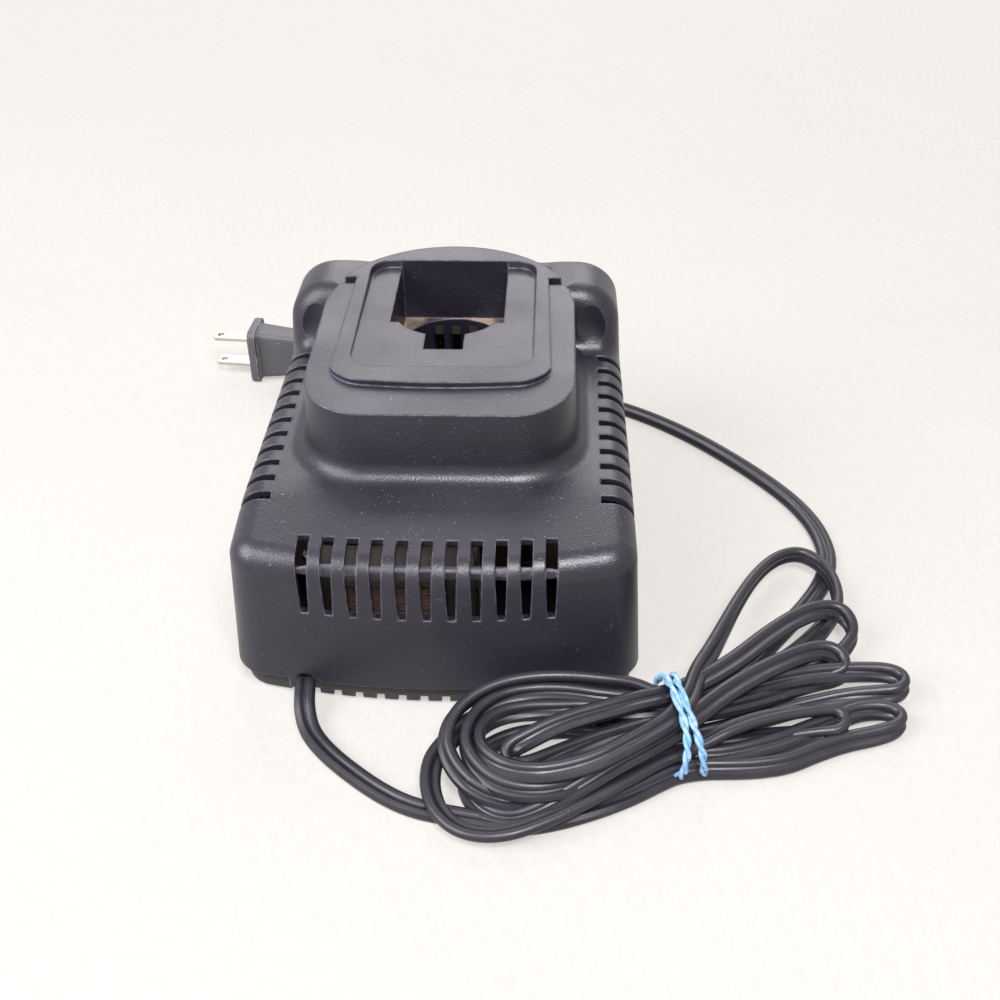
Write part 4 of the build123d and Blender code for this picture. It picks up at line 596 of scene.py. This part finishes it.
# ================================================================ heat sink and power parts
# An extruded aluminium sink with drawn lines along its fins, and black epoxy parts: power
# transistors, rectifier diodes and the control chip.
sink_aluminium, tree, shader = material_of("sink_aluminium", (0.73, 0.74, 0.75), 0.38, metallic=1.0)
drawn = grain(tree, 1300, 3, stretch=(1.0, 0.03, 1.0))
tinted(tree, shader, graded(tree, drawn, 0.35, 0.7, 0.0, 0.5), (0.58, 0.59, 0.61))
polished(tree, shader, drawn, 0.3, 0.7, smooth=0.30, rough=0.52)
raised(tree, shader, drawn, distance=0.00005)
dressed(nodes["heat_sink"], sink_aluminium)
component_black, tree, shader = material_of("component_black", (0.016, 0.016, 0.017), 0.46)
mottled(tree, shader, (0.045, 0.045, 0.046), 1200, 3, low=0.5, high=0.75, share=0.7)
raised(tree, shader, grain(tree, 2000, 2), distance=0.00005)
for name in ("power_transistors", "rectifier_diodes", "control_chip"):
    dressed(nodes[name], component_black)


# ================================================================ small components
# Cans in shrunk blue-black sleeves, lacquered resistors, a relay in a translucent case and a
# glass fuse in tinned clips.
def banded(tree, direction, scale, distortion=0.0):
    """Even bands across one direction of the piece: rings, leaves of metal or turns of wire."""
    bands = tree.nodes.new("ShaderNodeTexWave")
    bands.bands_direction = direction
    bands.inputs["Scale"].default_value = scale
    bands.inputs["Distortion"].default_value = distortion
    place = tree.nodes.new("ShaderNodeTexCoord")
    tree.links.new(place.outputs["Object"], bands.inputs["Vector"])
    return bands.outputs["Fac"]


capacitor_sleeve, tree, shader = material_of("capacitor_sleeve", (0.014, 0.022, 0.060), 0.30)
shader.inputs["Coat Weight"].default_value = 0.4
mottled(tree, shader, (0.030, 0.042, 0.095), 150, 3, low=0.5, high=0.75, share=0.6)
raised(tree, shader, grain(tree, 500, 3, stretch=(1.0, 1.0, 0.2)), distance=0.00005)
for name in ("filter_capacitors", "small_capacitors"):
    dressed(nodes[name], capacitor_sleeve)
resistor_lacquer, tree, shader = material_of("resistor_lacquer", (0.56, 0.40, 0.22), 0.34)
shader.inputs["Coat Weight"].default_value = 0.3
rings = banded(tree, "X", 210.0)
tinted(tree, shader, graded(tree, rings, 0.80, 0.90), (0.20, 0.055, 0.020))
raised(tree, shader, grain(tree, 800, 3), distance=0.00004)
dressed(nodes["resistors"], resistor_lacquer)
relay_plastic, tree, shader = material_of("relay_plastic", (0.52, 0.19, 0.030), 0.28)
mottled(tree, shader, (0.62, 0.27, 0.055), 70, 3, low=0.45, high=0.75, share=0.5)
raised(tree, shader, grain(tree, 600, 3), distance=0.00004)
dressed(nodes["relay"], relay_plastic)
fuse_glass, tree, shader = material_of("fuse_glass", (0.86, 0.90, 0.89), 0.06)
shader.inputs["Transmission Weight"].default_value = 0.85
shader.inputs["IOR"].default_value = 1.5
mottled(tree, shader, (0.70, 0.74, 0.72), 300, 3, low=0.5, high=0.8, share=0.4)
raised(tree, shader, grain(tree, 500, 2), distance=0.00002)
dressed(nodes["fuse"], fuse_glass)
tinned_steel, tree, shader = material_of("tinned_steel", (0.70, 0.69, 0.66), 0.32, metallic=1.0)
mottled(tree, shader, (0.52, 0.51, 0.49), 130, 4, low=0.45, high=0.75, share=0.6)
polished(tree, shader, grain(tree, 260, 4), 0.3, 0.7, smooth=0.24, rough=0.44)
raised(tree, shader, grain(tree, 700, 3), distance=0.00004)
for name in ("fuse_clips", "transformer_strap"):
    dressed(nodes[name], tinned_steel)


# ================================================================ transformer
# A stack of varnished steel laminations under a tinned strap, with two coils of dark
# varnished copper wire on a charcoal nylon bobbin.
lamination_steel, tree, shader = material_of(
    "lamination_steel", (0.23, 0.215, 0.20), 0.46, metallic=0.85,
)
leaves = banded(tree, "Y", 320.0, distortion=0.4)
tinted(tree, shader, graded(tree, leaves, 0.1, 0.9, 0.7, 0.0), (0.075, 0.060, 0.045))
mottled(tree, shader, (0.20, 0.10, 0.045), 120, 4, low=0.5, high=0.75, share=0.5)
raised(tree, shader, leaves, distance=0.00012)
dressed(nodes["transformer_core"], lamination_steel)
bobbin_plastic, tree, shader = material_of("bobbin_plastic", (0.060, 0.060, 0.056), 0.46)
shader.inputs["Subsurface Weight"].default_value = 0.1
mottled(tree, shader, (0.095, 0.090, 0.080), 60, 4, low=0.45, high=0.75, share=0.5)
raised(tree, shader, grain(tree, 900, 3), distance=0.00004)
dressed(nodes["transformer_bobbin"], bobbin_plastic)
enamelled_copper, tree, shader = material_of(
    "enamelled_copper", (0.050, 0.017, 0.010), 0.36, metallic=0.5,
)
shader.inputs["Coat Weight"].default_value = 0.2
wires = banded(tree, "Z", 520.0, distortion=0.6)
tinted(tree, shader, graded(tree, wires, 0.0, 0.8, 0.8, 0.0), (0.030, 0.012, 0.008))
raised(tree, shader, wires, distance=0.00022)
for name in ("primary_winding", "secondary_winding"):
    dressed(nodes[name], enamelled_copper)


# ================================================================ contacts and wires
# Spring contacts bent from nickelled bronze, painted near-black for the shade in the battery's
# pocket, with lighter patches at random, in a black carrier, and the insulated wires inside.
# painted shade: the metal's colour is near-black, far darker than bright nickel
nickelled_bronze, tree, shader = material_of(
    "nickelled_bronze", (0.010, 0.009, 0.0075), 0.44, metallic=1.0,
)
mottled(tree, shader, (0.36, 0.33, 0.27), 350, 4, low=0.66, high=0.74, share=0.9)
polished(tree, shader, grain(tree, 420, 3), 0.3, 0.7, smooth=0.34, rough=0.56)
raised(tree, shader, grain(tree, 900, 3), distance=0.00003)
for name in ("contact_positive", "contact_negative", "contact_sense", "contact_leads"):
    dressed(nodes[name], nickelled_bronze)
carrier_plastic = moulded(
    "carrier_plastic", colour=(0.016, 0.016, 0.018), roughness=0.5,
    grain_height=0.00005, edge_radius=0.0004, dust=0.3,
)
dressed(nodes["contact_carrier"], carrier_plastic)
wire_insulation, tree, shader = material_of("wire_insulation", (0.40, 0.026, 0.020), 0.40)
mottled(tree, shader, (0.27, 0.016, 0.014), 200, 3, low=0.45, high=0.7, share=0.5)
raised(tree, shader, grain(tree, 1200, 2), distance=0.00004)
for name in ("mains_leads", "secondary_leads"):
    dressed(nodes[name], wire_insulation)


# ================================================================ table and light
# A table covered with short white fleece, which fades into a bright backdrop with distance,
# and three soft lights: a wide one from the left, one from above and behind, a small one from
# above in front.
def seen_directly(tree):
    """One where the eye, a gloss or a clear piece looks at the surface, else zero."""
    paths = tree.nodes.new("ShaderNodeLightPath")
    share = None
    for ray in ("Is Camera Ray", "Is Glossy Ray", "Is Transmission Ray"):
        add = tree.nodes.new("ShaderNodeMath")
        add.use_clamp = True
        tree.links.new(paths.outputs[ray], add.inputs[0])
        add.inputs[1].default_value = 0.0
        if share:
            tree.links.new(share, add.inputs[1])
        share = add.outputs[0]
    return share


table_size, fade_from, fade_to, glow_nearby = 8.0, 0.40, 1.60, 0.52
backdrop_colour = (0.975, 0.960, 0.930, 1.0)
bpy.ops.object.select_all(action="DESELECT")
bpy.ops.mesh.primitive_plane_add(size=table_size, location=(0, 0, 0))
table = bpy.context.object
table.name = "table"
fleece, tree, shader = material_of("table_fleece", (0.42, 0.405, 0.375), 0.95)
mottled(tree, shader, (0.40, 0.38, 0.345), 9, 5, low=0.4, high=0.7, share=0.7)
nap = grain(tree, 300, 6, stretch=(1.0, 0.6, 1.0))
tinted(tree, shader, graded(tree, nap, 0.4, 0.7, 0.0, 0.4), (0.35, 0.33, 0.30))
raised(tree, shader, nap, distance=0.0005)
glow = tree.nodes.new("ShaderNodeEmission")
glow.inputs["Color"].default_value = backdrop_colour
lit = tree.nodes.new("ShaderNodeMixShader")
place = tree.nodes.new("ShaderNodeTexCoord")
away = tree.nodes.new("ShaderNodeVectorMath")
away.operation = "LENGTH"
tree.links.new(place.outputs["Object"], away.inputs[0])
fading = graded(tree, away.outputs["Value"], fade_from, fade_to, glow_nearby, 1.0)
tree.links.new(product(tree, fading, seen_directly(tree)), lit.inputs[0])
tree.links.new(shader.outputs[0], lit.inputs[1])
tree.links.new(glow.outputs[0], lit.inputs[2])
tree.links.new(lit.outputs[0], tree.nodes["Material Output"].inputs["Surface"])
dressed(table, fleece)

world = bpy.data.worlds.new("studio")
bpy.context.scene.world = world
world.use_nodes = True
tree = world.node_tree
sky = tree.nodes["Background"]
sky.inputs["Color"].default_value = (1.0, 0.995, 0.985, 1.0)
sky.inputs["Strength"].default_value = 0.14
backdrop = tree.nodes.new("ShaderNodeBackground")
backdrop.inputs["Color"].default_value = backdrop_colour
lit = tree.nodes.new("ShaderNodeMixShader")
tree.links.new(seen_directly(tree), lit.inputs[0])
tree.links.new(sky.outputs[0], lit.inputs[1])
tree.links.new(backdrop.outputs[0], lit.inputs[2])
tree.links.new(lit.outputs[0], tree.nodes["World Output"].inputs["Surface"])

lamp_colour = (1.0, 0.97, 1.0)
for name, spot, size, power in (
    ("light_left", (-1.05, -0.60, 0.98), 1.1, 40.0),
    ("light_behind", (0.05, 1.05, 0.95), 1.0, 12.0),
    ("light_above", (0.22, -0.80, 1.25), 0.50, 30.0),
):
    bpy.ops.object.light_add(type="AREA", location=spot)
    lamp = bpy.context.object
    lamp.name = name
    lamp.data.size = size
    lamp.data.energy = power
    lamp.data.color = lamp_colour
    lamp.rotation_euler = (-Vector(spot)).to_track_quat("-Z", "Y").to_euler()
bpy.context.scene.view_settings.view_transform = "Standard"
